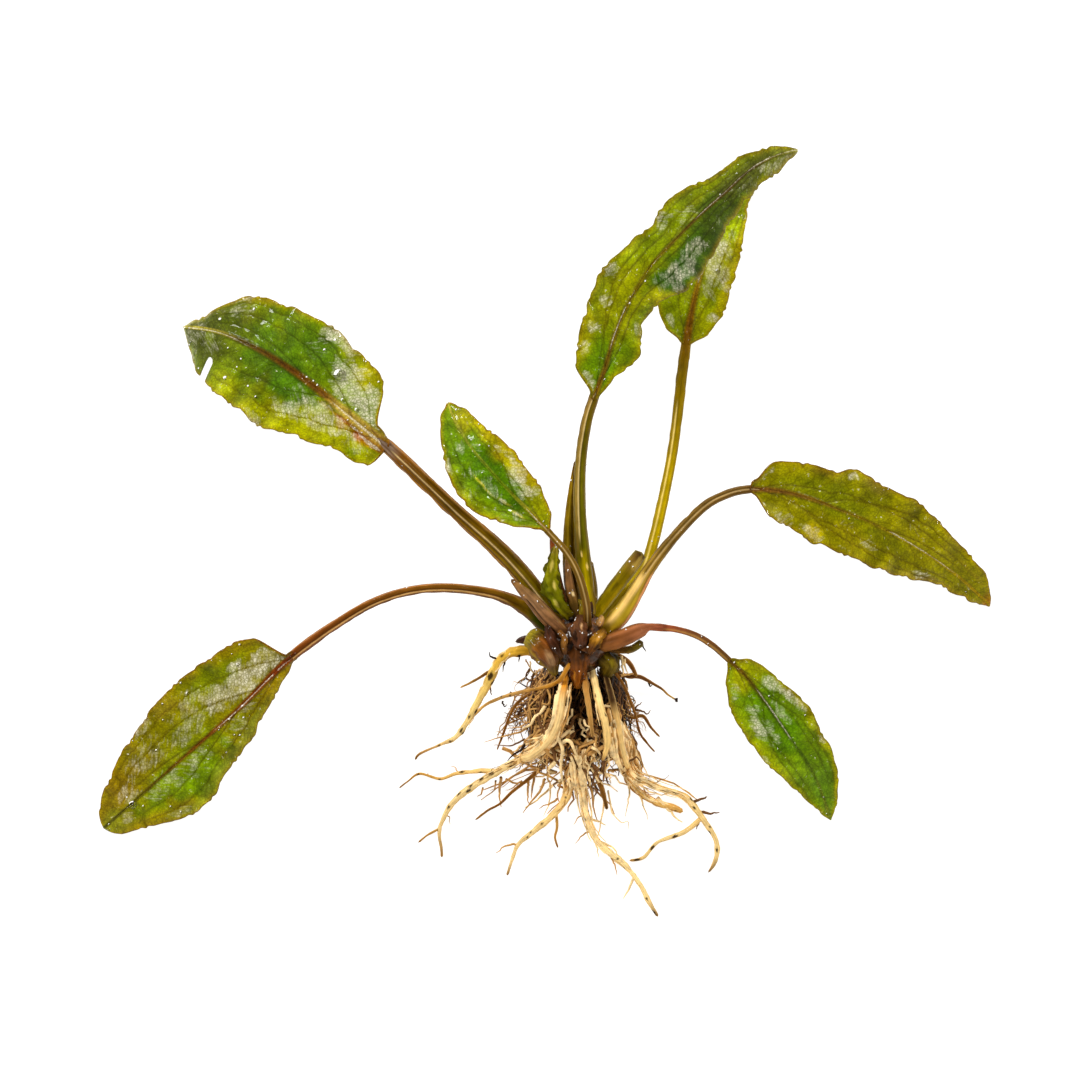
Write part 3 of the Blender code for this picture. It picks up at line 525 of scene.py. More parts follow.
leaves["front"] = {
    "midrib": [
        (-5.5, 33.7, 23.5), (-8.9, 37.4, 24.6), (-12.8, 41.3, 25.2), (-16.6, 45.5, 25.2),
        (-20.5, 50.2, 24.3), (-23.5, 55.2, 22.6), (-24.9, 58.6, 21),
    ],
    "left": [0.5, 1.9, 4.4, 5.6, 7.1, 7.9, 7.8, 7.4, 6.4, 5, 4, 2.5, 0.5],
    "right": [1.2, 3, 4.2, 5.1, 5.3, 5.7, 5.8, 5.6, 5, 4.4, 3.7, 2.7, 1],
    "liftLeft": (0.5, 1.2, 0.3), "liftRight": (0.5, 1.2, 0.3), "ruffle": 0.25, "waves": 5, "frill": 0.2,
    "teeth": 0.12, "ribWidth": (0.6, 0.25),
    "rib": [(0, "8A7420"), (0.2, "8E9450"), (0.4, "5A7A20"), (0.7, "7E945A"), (1, "A8AA8C")],
    "ribShine": [(0.0, 0.2)], "pigment": "6A8C02", "margin": "7E6408",
    "patches": [
        ("487602", 0.5, 0.05, 0.34, 0.55, 1.0), ("3A6802", 0.3, 0.15, 0.12, 0.35, 0.7),
        ("9EA002", 0.5, -0.85, 0.36, 0.45, 1.0), ("8E9406", 0.86, -0.5, 0.12, 0.6, 0.9),
        ("365E00", 0.5, -0.25, 0.08, 0.2, 0.7), ("7E9208", 0.4, 0.98, 0.36, 0.22, 0.8),
        ("8C9804", 0.12, -0.5, 0.14, 0.6, 0.8), ("6A8E0C", 0.16, 0.6, 0.14, 0.5, 0.7),
        ("ACA80C", 0.32, -0.8, 0.1, 0.3, 0.7), ("568200", 0.8, 0.6, 0.12, 0.5, 0.7),
        # the near-white strokes beside a vein are painted highlights on its ridge
        ("E8E0B8", 0.3, 0.33, 0.07, 0.025, 0.9), ("C8C878", 0.45, 0.4, 0.1, 0.02, 0.7),
        ("EAE4C8", 0.19, 0.42, 0.05, 0.04, 0.9),
    ],
    "film": [
        (0.37, -0.55, 0.07, 0.3, 0.9), (0.27, -0.45, 0.05, 0.26, 0.85), (0.46, -0.8, 0.06, 0.14, 0.8),
        (0.56, -0.7, 0.05, 0.14, 0.65), (0.72, 0.3, 0.06, 0.22, 0.55), (0.66, 0.9, 0.05, 0.12, 0.7),
        (0.56, 0.4, 0.05, 0.2, 0.5), (0.43, 0.3, 0.08, 0.22, 0.5), (0.48, 0.8, 0.06, 0.14, 0.5),
        (0.68, -0.18, 0.05, 0.12, 0.55), (0.2, 0.5, 0.04, 0.14, 0.7), (0.22, -0.75, 0.03, 0.16, 0.7),
        (0.82, -0.5, 0.03, 0.12, 0.6), (0.32, 0.36, 0.03, 0.1, 0.8),
    ],
    "veins": [(1, 0.05, 0.55), (-1, 0.05, 0.5), (1, 0.0, 0.85), (-1, 0.3, 0.8)],
}
leaves["top"] = {
    "midrib": [
        (3.4, 59.4, 16.5), (5.7, 65.6, 17.6), (7.6, 72, 18.3), (10.5, 78.7, 18.8), (14.4, 85, 19),
        (19.3, 90.4, 18.7), (24.2, 95.4, 18), (29.1, 99.8, 17), (34.1, 104.4, 15.6), (39.1, 107.3, 13.8),
        (43.7, 108.7, 12),
    ],
    "left": [0.9, 5.8, 6.7, 7.2, 7.7, 6.6, 5.4, 6.5, 5.5, 3.9, 3.4, 2.1, 0.5],
    "right": [0.8, 2.7, 6, 4.4, 5, 7.7, 8.3, 7.1, 5.4, 4, 3.6, 2.9, 0.5],
    "liftLeft": (1, 1, 0), "liftRight": (0.5, -3.5, -1), "ruffle": 0.7, "waves": 7, "frill": 0.5,
    "teeth": 0.12, "ribWidth": (0.8, 0.3),
    "rib": [
        (0, "7E6030"), (0.15, "5A4E10"), (0.4, "6E6A10"), (0.6, "4A3A28"), (0.85, "3E3428"), (1, "7E8470"),
    ],
    "ribShine": [(0.16, 0.34), (0.62, 1.1)],
    "pigment": "72860A", "foldShade": 0.6, "margin": "6E6A08",
    "patches": [
        ("507A06", 0.12, 0.0, 0.12, 0.8, 0.9), ("808C00", 0.3, 0.3, 0.14, 0.6, 0.8),
        ("2E5818", 0.48, -0.62, 0.16, 0.5, 1.0), ("32521E", 0.62, -0.6, 0.14, 0.6, 1.0),
        ("3C542E", 0.72, -0.3, 0.14, 0.7, 0.95), ("485440", 0.82, 0.0, 0.12, 0.9, 0.9),
        ("62705A", 0.95, 0.0, 0.08, 1.2, 0.95), ("6E8A10", 0.52, 0.6, 0.12, 0.5, 0.7),
        ("949C04", 0.17, 0.85, 0.06, 0.3, 0.8), ("6E8420", 0.75, 0.8, 0.12, 0.4, 0.8),
        ("98A008", 0.34, -0.75, 0.05, 0.4, 0.7), ("8A9E30", 0.42, 0.9, 0.05, 0.2, 0.6),
        ("7A8400", 0.24, -0.2, 0.08, 0.3, 0.6), ("4C7C10", 0.3, -0.9, 0.05, 0.3, 0.6),
    ],
    "film": [
        (0.47, -0.6, 0.05, 0.3, 0.8), (0.54, -0.5, 0.04, 0.24, 0.68), (0.43, -0.75, 0.02, 0.2, 0.7),
        (0.8, -0.5, 0.05, 0.4, 0.42), (0.88, -0.5, 0.05, 0.4, 0.6), (0.28, 0.62, 0.02, 0.2, 0.75),
        (0.2, 0.66, 0.016, 0.16, 0.7), (0.55, 0.72, 0.04, 0.2, 0.65), (0.6, 0.3, 0.05, 0.24, 0.5),
        (0.05, 0.5, 0.02, 0.24, 0.8), (0.4, -0.5, 0.03, 0.3, 0.55), (0.36, 0.8, 0.02, 0.2, 0.7),
        (0.24, -0.85, 0.02, 0.2, 0.6), (0.94, -0.5, 0.04, 0.3, 0.5), (0.14, 0.8, 0.02, 0.2, 0.6),
        (0.68, -0.5, 0.06, 0.3, 0.35),
    ],
    "veins": [(1, 0.0, 0.5), (-1, 0.02, 0.55), (1, 0.1, 0.85), (-1, 0.3, 0.3), (1, 0.4, 0.22)],
}
leaves["back"] = {
    "midrib": [
        (22, 70.7, 4.7), (22.8, 75.7, 5), (24, 81.3, 4.8), (25.6, 86.7, 4.2), (28, 92.1, 3.5),
        (31.3, 97.6, 2.2), (33.9, 100.8, 1.2), (36.3, 103.5, 0.4),
    ],
    "left": [1.3, 4.6, 6.8, 7.6, 7.6, 7.3, 6.5, 5.6, 4.7, 3.7, 2.6, 1.6, 0.5],
    "right": [1.2, 4.2, 5.8, 6.5, 6.6, 6.6, 6.4, 5.9, 5.1, 4, 2.5, 1.2, 0.5],
    "liftLeft": (0.5, 1, 0), "liftRight": (0.5, 1, 0), "ruffle": 0.3, "waves": 5, "frill": 0.3,
    "teeth": 0.12, "ribWidth": (1.3, 0.3),
    "rib": [(0, "7A5408"), (0.25, "7E5E0A"), (0.6, "7E8A30"), (1, "8A9640")],
    "ribShine": [(0.35, 0.6)], "pigment": "86A00A", "margin": "8E8204",
    "patches": [
        ("A6AA00", 0.45, -0.9, 0.4, 0.24, 0.9), ("7A920C", 0.2, 0.4, 0.14, 0.6, 0.7),
        ("9CA434", 0.5, -0.4, 0.18, 0.5, 0.7), ("96A202", 0.12, -0.5, 0.12, 0.5, 0.7),
        ("808A10", 0.3, 0.0, 0.1, 0.5, 0.5),
    ],
    "film": [
        (0.52, -0.3, 0.12, 0.34, 0.85), (0.4, -0.55, 0.07, 0.3, 0.85), (0.3, -0.4, 0.06, 0.24, 0.6),
        (0.17, -0.7, 0.03, 0.2, 0.8), (0.66, -0.5, 0.08, 0.3, 0.5), (0.12, 0.7, 0.03, 0.12, 0.7),
        (0.36, -0.9, 0.03, 0.1, 0.7),
    ],
    "veins": [(1, 0.0, 0.6), (-1, 0.0, 0.55), (-1, 0.1, 0.85)],
}
leaves["right"] = {
    "midrib": [
        (34.3, 42, 12), (40.2, 41.6, 12.6), (46.1, 40.1, 12.6), (52, 37.9, 12), (58, 35.5, 11),
        (64.1, 32.4, 9.5), (70.2, 28.8, 7.4), (76.4, 24.5, 4.4), (81.7, 20, 1.2), (82.8, 18.8, 0.4),
    ],
    "left": [1.9, 5.7, 6.6, 6.7, 8.7, 7.7, 8, 7.7, 6.6, 5.4, 4.8, 3.7, 0.5],
    "right": [0.9, 5.7, 6.5, 8, 7.8, 8, 7.8, 7.2, 6.1, 4.1, 3.4, 2.2, 0.5],
    "liftLeft": (0.8, 0.8, -0.3), "liftRight": (0.5, -1.2, -0.6), "ruffle": 0.6, "waves": 6, "frill": 0.5,
    "teeth": 0.1, "ribWidth": (0.8, 0.3),
    "rib": [(0, "6E4C3E"), (0.2, "6A5426"), (0.4, "6E640C"), (0.55, "8A8408"), (1, "8A7A08")],
    "ribShine": [(0.52, 0.8)], "pigment": "7A7E00", "foldShade": 0.6, "margin": "6A5008",
    "patches": [
        ("667602", 0.3, 0.3, 0.2, 0.5, 0.7), ("7E8002", 0.6, 0.3, 0.2, 0.5, 0.5),
        ("6E6A30", 0.24, 0.93, 0.05, 0.16, 0.9), ("7A7850", 0.41, 0.9, 0.05, 0.16, 0.9),
        ("8E8E70", 0.74, -0.95, 0.16, 0.22, 0.9), ("A8A208", 0.26, -0.78, 0.04, 0.2, 0.9),
        ("7C8048", 0.08, -0.85, 0.06, 0.3, 0.7), ("5C6A02", 0.5, -0.3, 0.1, 0.3, 0.6),
        ("B4680C", 1.0, 0.0, 0.035, 1.2, 0.95), ("868236", 0.86, 0.55, 0.1, 0.12, 0.6),
        ("6A5A06", 0.98, 0.3, 0.03, 0.3, 0.6), ("868602", 0.42, -0.5, 0.12, 0.3, 0.5),
    ],
    "film": [
        (0.24, -0.78, 0.035, 0.1, 0.62), (0.27, -0.66, 0.015, 0.08, 0.6), (0.29, -0.85, 0.02, 0.1, 0.7),
        (0.47, -0.5, 0.04, 0.14, 0.6), (0.13, -0.8, 0.05, 0.2, 0.5), (0.7, -0.75, 0.03, 0.14, 0.7),
        (0.06, 0.72, 0.02, 0.1, 0.6), (0.33, 0.84, 0.02, 0.08, 0.7), (0.6, 0.4, 0.05, 0.2, 0.36),
        (0.37, -0.35, 0.05, 0.2, 0.34), (0.38, -0.85, 0.03, 0.08, 0.6),
    ],
    "veins": [(1, 0.0, 0.5), (-1, 0.02, 0.55), (1, 0.25, 0.8), (-1, 0.1, 0.85), (1, 0.5, 0.35)],
}
leaves["lower_right"] = {
    "midrib": [
        (30.3, 8.3, 9.5), (33.5, 5.2, 9.4), (36.5, 1.4, 9), (39.5, -2.8, 8.2), (42.5, -7.2, 7),
        (45.6, -11.5, 5.3), (48.1, -15.9, 3.3), (50, -20.8, 1.3), (51.1, -23.9, 0.4),
    ],
    "left": [1, 3.1, 4.4, 5, 6, 6.6, 6.4, 5.6, 5.7, 4.8, 3.8, 2.5, 0.5],
    "right": [1, 4.2, 6, 6.9, 7.2, 7.1, 6.9, 6.5, 5.8, 4.9, 3.8, 2.2, 0.5],
    "liftLeft": (0.8, 0.8, 0), "liftRight": (0.8, 0.6, 0), "ruffle": 0.25, "waves": 4, "frill": 0.25,
    "teeth": 0.07, "ribWidth": (0.7, 0.3),
    "rib": [(0, "6A5010"), (0.3, "34480C"), (0.6, "44641C"), (1, "6A7C50")],
    "ribShine": [(0.2, 0.55)], "pigment": "668A0A", "margin": "7A7408",
    "patches": [
        ("508004", 0.38, 0.0, 0.26, 0.55, 0.85), ("467606", 0.5, 0.15, 0.14, 0.4, 0.6),
        ("869E04", 0.5, -0.92, 0.34, 0.26, 0.85), ("8E9A04", 0.08, 0.1, 0.09, 1.0, 0.9),
        ("8C9608", 0.45, 0.95, 0.2, 0.24, 0.8), ("527C38", 0.8, 0.1, 0.16, 0.7, 0.8),
        ("7E9E58", 0.5, 0.97, 0.05, 0.14, 0.7), ("94A600", 0.62, 0.92, 0.05, 0.2, 0.8),
        ("98A80A", 0.85, 0.95, 0.12, 0.16, 0.7), ("7C9A10", 0.3, -0.95, 0.1, 0.3, 0.6),
        ("6E8E50", 0.97, 0.0, 0.05, 1.0, 0.7),
    ],
    "film": [
        (0.22, 0.7, 0.05, 0.22, 0.85), (0.3, 0.76, 0.06, 0.16, 0.85), (0.38, 0.82, 0.05, 0.12, 0.75),
        (0.3, 0.28, 0.06, 0.18, 0.6), (0.38, 0.25, 0.06, 0.16, 0.6), (0.36, -0.48, 0.07, 0.22, 0.85),
        (0.28, -0.45, 0.05, 0.18, 0.6), (0.46, -0.42, 0.04, 0.2, 0.65), (0.13, -0.7, 0.04, 0.2, 0.55),
        (0.6, 0.9, 0.03, 0.1, 0.7), (0.52, -0.95, 0.04, 0.08, 0.6), (0.75, 0.0, 0.06, 0.2, 0.34),
    ],
    "veins": [(1, 0.02, 0.5), (-1, 0.02, 0.5), (1, 0.2, 0.82), (-1, 0.25, 0.82)],
}

# What all blades share, in millimetres where it is a size
bladeForm = {
    "flareFrom": 0.1,
    "foldShade": 0.35,
    "thinnest": 0.05,
    "roundness": (1.0, 2.0),  # at the stalk and at the tip
    "toothHeight": 1.8,
    "scallopDepth": 0.7,
    "quilt": (3.2, 1.5),  # the size of the wide and of the small bulges between the veins
    "quiltHeight": 0.2,
    "quiltShade": 0.42,
    "patchGrain": 2.5,
    "crinkle": 0.9,
    "slant": (0.66, 0.75),  # the way of the folds, along and across
    "biteReach": 5,
}
veinRun = {"rate": 5, "width": 0.22, "depth": 0.14, "shade": 0.75}
# Waves of a margin: how far apart, the shift of the right side, their unevenness and its rate
marginRun = {"teeth": (2.3, 0.37, 1.4, 3.1), "frill": (6.5, 0.4, 1.2, 2.3)}


def marginWave(kind, along, across, length):
    pitch, shift, unevenness, rate = marginRun[kind]
    turn = along * length / pitch + np.where(across > 0, 0, shift)
    return turn, np.sin(2 * math.pi * turn + unevenness * np.sin(rate * turn))


def leafHalf(leaf, along, across, length):
    # how far the margin is from the midrib, with its small teeth; the blade flares from its stalk
    sides = [np.array(leaf[side], float) for side in ("left", "right")]
    flare = ease(leaf["flareFrom"], 1, along * (len(sides[0]) - 1))
    left, right = (
        np.where(flare < 1, widths[0] + (widths[1] - widths[0]) * flare, splineAt(widths, along))
        for widths in sides
    )
    half = np.maximum(np.where(across > 0, left, right), leaf["thinnest"])
    for distance, roundness in zip((along * length, (1 - along) * length), leaf["roundness"]):
        half = half * np.sqrt(1 - (1 - np.clip(distance / roundness, 0, 1)) ** 2)
    turn, tooth = marginWave("teeth", along, across, length)
    tooth = tooth * (0.5 + 0.5 * np.sin(1.9 * turn + 1))
    scallop = (0.5 + 0.5 * marginWave("frill", along, across, length)[1]) ** 2
    wavy = leaf["toothHeight"] * leaf["teeth"] * tooth - leaf["scallopDepth"] * leaf["frill"] * scallop
    return half + wavy * ease(0, 0.06, along) * ease(1, 0.95, along)


def leafPlace(leaf, along, across):
    # the points of a leaf's middle surface, before its veins are pressed into it
    midrib = smoothRoute(leaf["midrib"], shape["routeStep"])
    length = routeLength(midrib)
    middle = readRoute(midrib, along)
    heading = headingAt(midrib, along)
    heading /= np.linalg.norm(heading[:, :2], axis=1)[:, None]
    half = leafHalf(leaf, along, across, length)
    lifts = [np.interp(along, (0, 0.5, 1), leaf[side]) for side in ("liftLeft", "liftRight")]
    lift = np.where(across > 0, *lifts)
    swell = np.sin(math.pi * along)
    wave = leaf["ruffle"] * np.sin(2 * math.pi * leaf["waves"] * along) * swell
    fold = marginWave("frill", along, across, length)[1] * swell * np.abs(across) ** 3
    out = across * half
    points = np.column_stack([
        middle[:, 0] - heading[:, 1] * out,
        middle[:, 1] + heading[:, 0] * out,
        middle[:, 2] + (lift + wave) * across**2 + leaf["frill"] * fold,
    ])
    return points, half, length, fold


def leafVeins(leaf, along, across, half, length):
    veins = np.zeros(len(along))
    for side, start, reach in leaf["veins"]:
        run = np.maximum(along - start, 0)
        fading = np.exp(-run * veinRun["rate"])
        share = side * reach * (1 - fading)
        slope = reach * veinRun["rate"] * fading * half / length
        distance = np.abs(across - share) * half / np.sqrt(1 + slope**2)
        strength = np.where(along > start, 1 - ease(0.7, 0.97, along), 0)
        veins = np.maximum(veins, strength * bell(distance, veinRun["width"]))
    return veins


def patchReach(along, across, middle, size, points, seed):
    # how far a point is from the middle of a patch: 1 at its ragged edge
    reach = np.hypot((along - middle[0]) / size[0], (across - middle[1]) / size[1])
    return reach + 0.5 * grain(points, bladeForm["patchGrain"], seed)


def cutBite(mesh, corners):
    # cuts a bite out of a leaf, along each side of its outline in turn
    bm = bmesh.new()
    bm.from_mesh(mesh)
    corners = [Vector((x, y, 0)) * mm for x, y in corners]
    middle = sum(corners, Vector()) / len(corners)
    faces = [
        face for face in bm.faces
        if (face.calc_center_median() - middle).xy.length < bladeForm["biteReach"] * mm
    ]
    sides = []
    for corner, following in zip(corners, corners[1:] + corners[:1]):
        outward = (following - corner).cross(Vector((0, 0, 1)))
        sides.append((corner, outward))
        near = {part for face in faces for part in (*face.verts, *face.edges, face)}
        cut = bmesh.ops.bisect_plane(bm, geom=list(near), plane_co=corner, plane_no=outward)
        faces = [part for part in cut["geom"] if isinstance(part, bmesh.types.BMFace)]
    bitten = [
        face for face in faces
        if all((face.calc_center_median() - corner).dot(outward) < 0 for corner, outward in sides)
    ]
    bmesh.ops.delete(bm, geom=bitten, context="FACES")
    bm.to_mesh(mesh)
    bm.free()


def makeLeaf(name, leaf, seed):
    leaf = {**bladeForm, **leaf}
    cellsAlong = round(routeLength(smoothRoute(leaf["midrib"], shape["routeStep"])) / shape["leafCell"])
    widest = max(leaf["left"]) + max(leaf["right"])
    cellsAcross = 2 * round(widest / shape["leafCell"] / 2)

    def place(along, acrossShare):
        across = 2 * acrossShare - 1
        across = np.sign(across) * np.abs(across) ** 1.2  # finer cells beside the midrib
        points, half, length, fold = leafPlace(leaf, along, across)
        flat = points * (1, 1, 0)
        veins = leafVeins(leaf, along, across, half, length)
        fromRib = np.abs(across) * half
        foot, tip = leaf["ribWidth"]
        ribWidth = np.interp(along, (0, 0.3, 1), (foot, 0.5 * foot + 0.1, tip))
        rib = np.exp(-((fromRib / (0.55 * ribWidth)) ** 4))
        strands = bell(fromRib - 0.5 * ribWidth, 0.3 * ribWidth)
        wide, small = leaf["quilt"]
        quilt = grain(flat, wide, seed) + 0.5 * grain(flat, small, seed + 1)
        bulge = leaf["quiltHeight"] * quilt * (1 - rib) * (1 - veins)
        relief = bulge + 0.3 * ribWidth * strands - veinRun["depth"] * veins
        points[:, 2] = np.maximum(points[:, 2] + relief, shape["leafRest"])

        colour = np.tile(linear(leaf["pigment"]), (len(along), 1))
        for number, (hexColour, a, c, da, dc, strength) in enumerate(leaf["patches"]):
            reach = patchReach(along, across, (a, c), (da, dc), flat, seed + number)
            colour = blendIn(colour, hexColour, strength * ease(1.35, 0.4, reach))
        # painted shade: darker in hollows between bulges and in frill troughs, lighter on their crests
        colour = colour * (1 + leaf["quiltShade"] * quilt + leaf["foldShade"] * fold)[:, None]
        inside = half * (1 - np.abs(across))
        colour = blendIn(colour, "A08A0C", 0.4 * bell(inside, 0.7))
        colour = blendIn(colour, leaf["margin"], 0.95 * bell(inside, 0.17))
        beside = bell(fromRib - 0.75 * ribWidth, 0.3 * ribWidth)
        colour = colour * (1 - 0.35 * beside)[:, None]
        ribMask = np.clip(rib + 0.3 * strands, 0, 1)[:, None]
        colour = colour * (1 - ribMask) + stopsAt(leaf["rib"], along) * ribMask

        # the painted sheen of the water film breaks at the ribs, and the groove of a wet midrib gets a
        # painted highlight
        shining = np.zeros(len(along))
        for start, end in leaf["ribShine"]:
            shining += ease(start - 0.03, start + 0.02, along) * ease(end + 0.04, end - 0.06, along)
        shining = shining * ease(-0.5, -0.3, grain(flat, 3.0, seed + 3))
        groove = bell(across * half - 0.15 * ribWidth, 0.16 * ribWidth + 0.05)
        # painted sheen: the water film's reflection and highlights, painted as pale patches
        film = np.zeros(len(along))
        crinkle = 0.25 * grain(flat, leaf["crinkle"], seed + 4)
        for number, (a, c, da, dc, strength) in enumerate(leaf["film"]):
            reach = patchReach(along, across, (a, c), (1.25 * da, 1.25 * dc), flat, seed + 30 + number)
            film = np.maximum(film, strength * ease(1.5, 0.35, reach + crinkle))
        film *= (1 + 0.4 * grain(flat, small, seed + 5)) * (1 - ribMask[:, 0]) * (1 - 0.5 * veins)
        film = np.maximum(film, 1.5 * shining * groove)

        down, out = leaf["slant"]
        slanted = np.column_stack([
            along * length * down + fromRib * out, fromRib * down - along * length * out,
            np.where(across > 0, 0, 50),
        ])
        chart = np.column_stack([along * length, across * half + 100])
        shade = veinRun["shade"] * veins
        return points, chart, {"pigment": colour, "film": film, "vein": shade, "slant": slanted}

    mesh = gridMesh("leaf_" + name, cellsAlong, cellsAcross, place, False)
    if "bite" in leaf:
        cutBite(mesh, leaf["bite"])
    piece = addPiece("blade_" + name, mesh, [leafTop, leafUnder], ["leaf_" + name])
    wall = piece.modifiers.new("Thickness", "SOLIDIFY")
    wall.thickness = shape["leafThickness"] * mm
    wall.offset = 0
    wall.material_offset = 1
    wall.material_offset_rim = 0
    return piece


for number, (name, leaf) in enumerate(leaves.items()):
    makeLeaf(name, leaf, 40 * number + 1)
print("leaves made")

# Stalks, crown pieces and roots are tubes. A row is x, y, z and radius, from the crown outwards.
# Angles are in degrees round the tube: 0 is its top and 90 its left side, seen on the way out.
# A line is (angle, width in mm, depth in mm, colour, strength, where it starts, where it ends),
# a patch (colour, where, angle, length and width in mm, strength), and ribs (how many, how deep).
# Near-white lines and patches are painted highlights, and the darkest lines, pressed in as grooves,
# are painted shade.
# What a tube's own dictionary doesn't say is this
tubeForm = {
    "lumps": 0.06,
    "lumpSize": 2.0,
    "ribShade": 0.3,
    "bluntness": 0.7,
    "flat": 1,
    "lines": (),
    "patches": (),
    "spots": (),
    "spotColour": "1A0A02",
    "spotSwelling": 0.12,
}


def tubeFrame(route, along):
    middle = readRoute(route, along)
    tangent = headingAt(route, along)
    tangent /= np.linalg.norm(tangent, axis=1)[:, None]
    left = np.cross((0, 0, 1), tangent)
    left /= np.linalg.norm(left, axis=1)[:, None]
    return middle, left, np.cross(tangent, left)


def turnFrom(angle, middle):
    # how far round the tube, the shorter way
    return (angle - middle + math.pi) % (2 * math.pi) - math.pi


def makeTube(name, rows, look, nodes, seed):
    look = {**tubeForm, **look}
    route = smoothRoute(rows, shape["tubeCell"])
    length = routeLength(route)
    cellsAlong = max(8, round(length / shape["tubeCell"]))
    cellsRound = int(np.clip(2 * math.pi * route[:, 3].max() / shape["tubeSide"], 10, 60))
    spots = []
    scatter = random.Random(seed)
    for x, y, size in look["spots"]:
        nearest = int(np.argmin(np.hypot(route[:, 0] - x, route[:, 1] - y)))
        spots.append((nearest / (len(route) - 1), scatter.uniform(-1.1, 1.1), size))

    def place(along, turn):
        angle = 2 * math.pi * turn
        middle, left, top = tubeFrame(route, along)
        radius = middle[:, 3].copy()
        for where, side, size in spots:
            radius *= 1 + look["spotSwelling"] * bell((along - where) * length, 2 * size)
        sideways = np.sin(angle)[:, None] * left
        rough = middle[:, :3] + radius[:, None] * (sideways + np.cos(angle)[:, None] * top)
        lumps = grain(rough, look["lumpSize"], seed)
        fine = grain(rough, look["lumpSize"] / 3, seed + 1)
        ribs, ribDepth = look["ribs"]
        between = 0.5 + 0.5 * np.cos(ribs * angle + 2 * lumps)
        out = radius * (1 + look["lumps"] * (lumps + 0.5 * fine)) - ribDepth * between
        colour = stopsAt(look["colours"], along)
        # painted rim shading: the flanks, seen edge-on from above, blend towards the side tone
        if "side" in look:
            colour = blendIn(colour, look["side"], 0.7 * np.abs(np.sin(angle)) ** 4)
        # painted shade in the grooves between the ribs
        colour = colour * (1 - look["ribShade"] * between)[:, None]
        # near-white lines are painted highlights, and the darkest pressed-in lines painted groove shade
        for lineAngle, width, depth, hexColour, strength, start, end in look["lines"]:
            run = ease(start - 0.02, start + 0.03, along) * ease(end + 0.02, end - 0.03, along)
            line = bell(turnFrom(angle, math.radians(lineAngle)) * radius, width) * run
            out = out - depth * line
            colour = blendIn(colour, hexColour, strength * line)
        for hexColour, where, patchAngle, run, width, strength in look["patches"]:
            away = turnFrom(angle, math.radians(patchAngle)) * radius
            reach = np.hypot((along - where) * length / run, away / width)
            colour = blendIn(colour, hexColour, strength * ease(1.3, 0.6, reach + 0.4 * fine))
        for where, side, size in spots:
            away = turnFrom(angle, side) * radius
            reach = np.hypot((along - where) * length / (1.3 * size), away / (0.8 * size))
            colour = blendIn(colour, look["spotColour"], 0.95 * ease(1.1, 0.8, reach + 0.4 * fine))
        fromEnd = np.minimum(along, 1 - along) * length
        bluntness = np.maximum(look["bluntness"] * radius, 0.01)
        out = np.maximum(out, 0.05) * np.sqrt(1 - (1 - np.clip(fromEnd / bluntness, 0, 1)) ** 2)
        upward = look["flat"] * np.cos(angle)[:, None] * top
        points = middle[:, :3] + out[:, None] * (sideways + upward)
        points[:, 2] = np.maximum(points[:, 2], 0.02)
        chart = np.column_stack([along * length, turn * 2 * math.pi * route[:, 3].mean() + 50])
        return points, chart, {"pigment": colour}

    mesh = gridMesh(name, cellsAlong, cellsRound, place, True)
    return addPiece(name, mesh, [look["skin"]], nodes)


stalks = {}
stalks["lower_left"] = {
    "rows": [
        (-2.5, 13.6, 5.5, 1.6), (-6, 15.6, 6.2, 2), (-10, 18.7, 8, 1.6), (-14.9, 21, 10, 1.15),
        (-20.8, 22.2, 12, 1), (-27, 22.6, 13, 0.95), (-33.5, 21.8, 13.5, 0.95), (-40.4, 19.4, 13, 0.95),
        (-47.3, 15.3, 11.5, 1), (-52, 12.1, 10, 1.1),
    ],
    "colours": [
        (0, "34440A"), (0.1, "2E3E08"), (0.14, "6E5E10"), (0.3, "6A4E14"), (0.6, "66441A"),
        (0.85, "6A3E1E"), (1, "6E3824"),
    ],
    "side": "7A5020", "ribs": (5, 0.12),
    "lines": [
        # the pale C8B4A8 line is a painted highlight
        (30, 0.16, 0.12, "C8B4A8", 0.85, 0.2, 0.95), (12, 0.2, 0.1, "3A2408", 0.75, 0.15, 1),
        (-62, 0.25, 0.0, "AA8260", 0.7, 0.2, 0.95), (58, 0.2, 0.05, "4A3008", 0.6, 0.1, 1),
    ],
}
stalks["upper_left"] = {
    "rows": [
        (-2.7, 15.2, 8.5, 1.8), (-6, 19.6, 9.5, 1.8), (-10.9, 25.7, 12, 1.9), (-15.8, 30.8, 13.8, 1.8),
        (-22.7, 36.9, 15.3, 1.6), (-28.5, 42.4, 16, 1.5), (-33.4, 47.1, 16.2, 1.5),
    ],
    "colours": [
        (0, "5A4A18"), (0.12, "6E6A08"), (0.3, "6E6208"), (0.5, "6A5608"), (0.7, "624A08"),
        (0.79, "68480C"), (0.83, "7C748C"), (1, "9890C0"),
    ],
    "side": "84601A", "ribs": (5, 0.16),
    "lines": [
        # the near-white F0ECF4 line is a painted highlight
        (8, 0.19, 0.3, "F0ECF4", 0.95, 0.08, 0.82), (16, 0.2, 0.2, "382404", 0.8, 0.08, 1),
        (48, 0.2, 0.1, "3E2804", 0.7, 0.1, 1), (-30, 0.25, 0.1, "3E2806", 0.7, 0.08, 1),
        (68, 0.2, 0.0, "A8862E", 0.6, 0.2, 0.9), (-66, 0.25, 0.0, "A87C3C", 0.6, 0.1, 0.9),
    ],
}
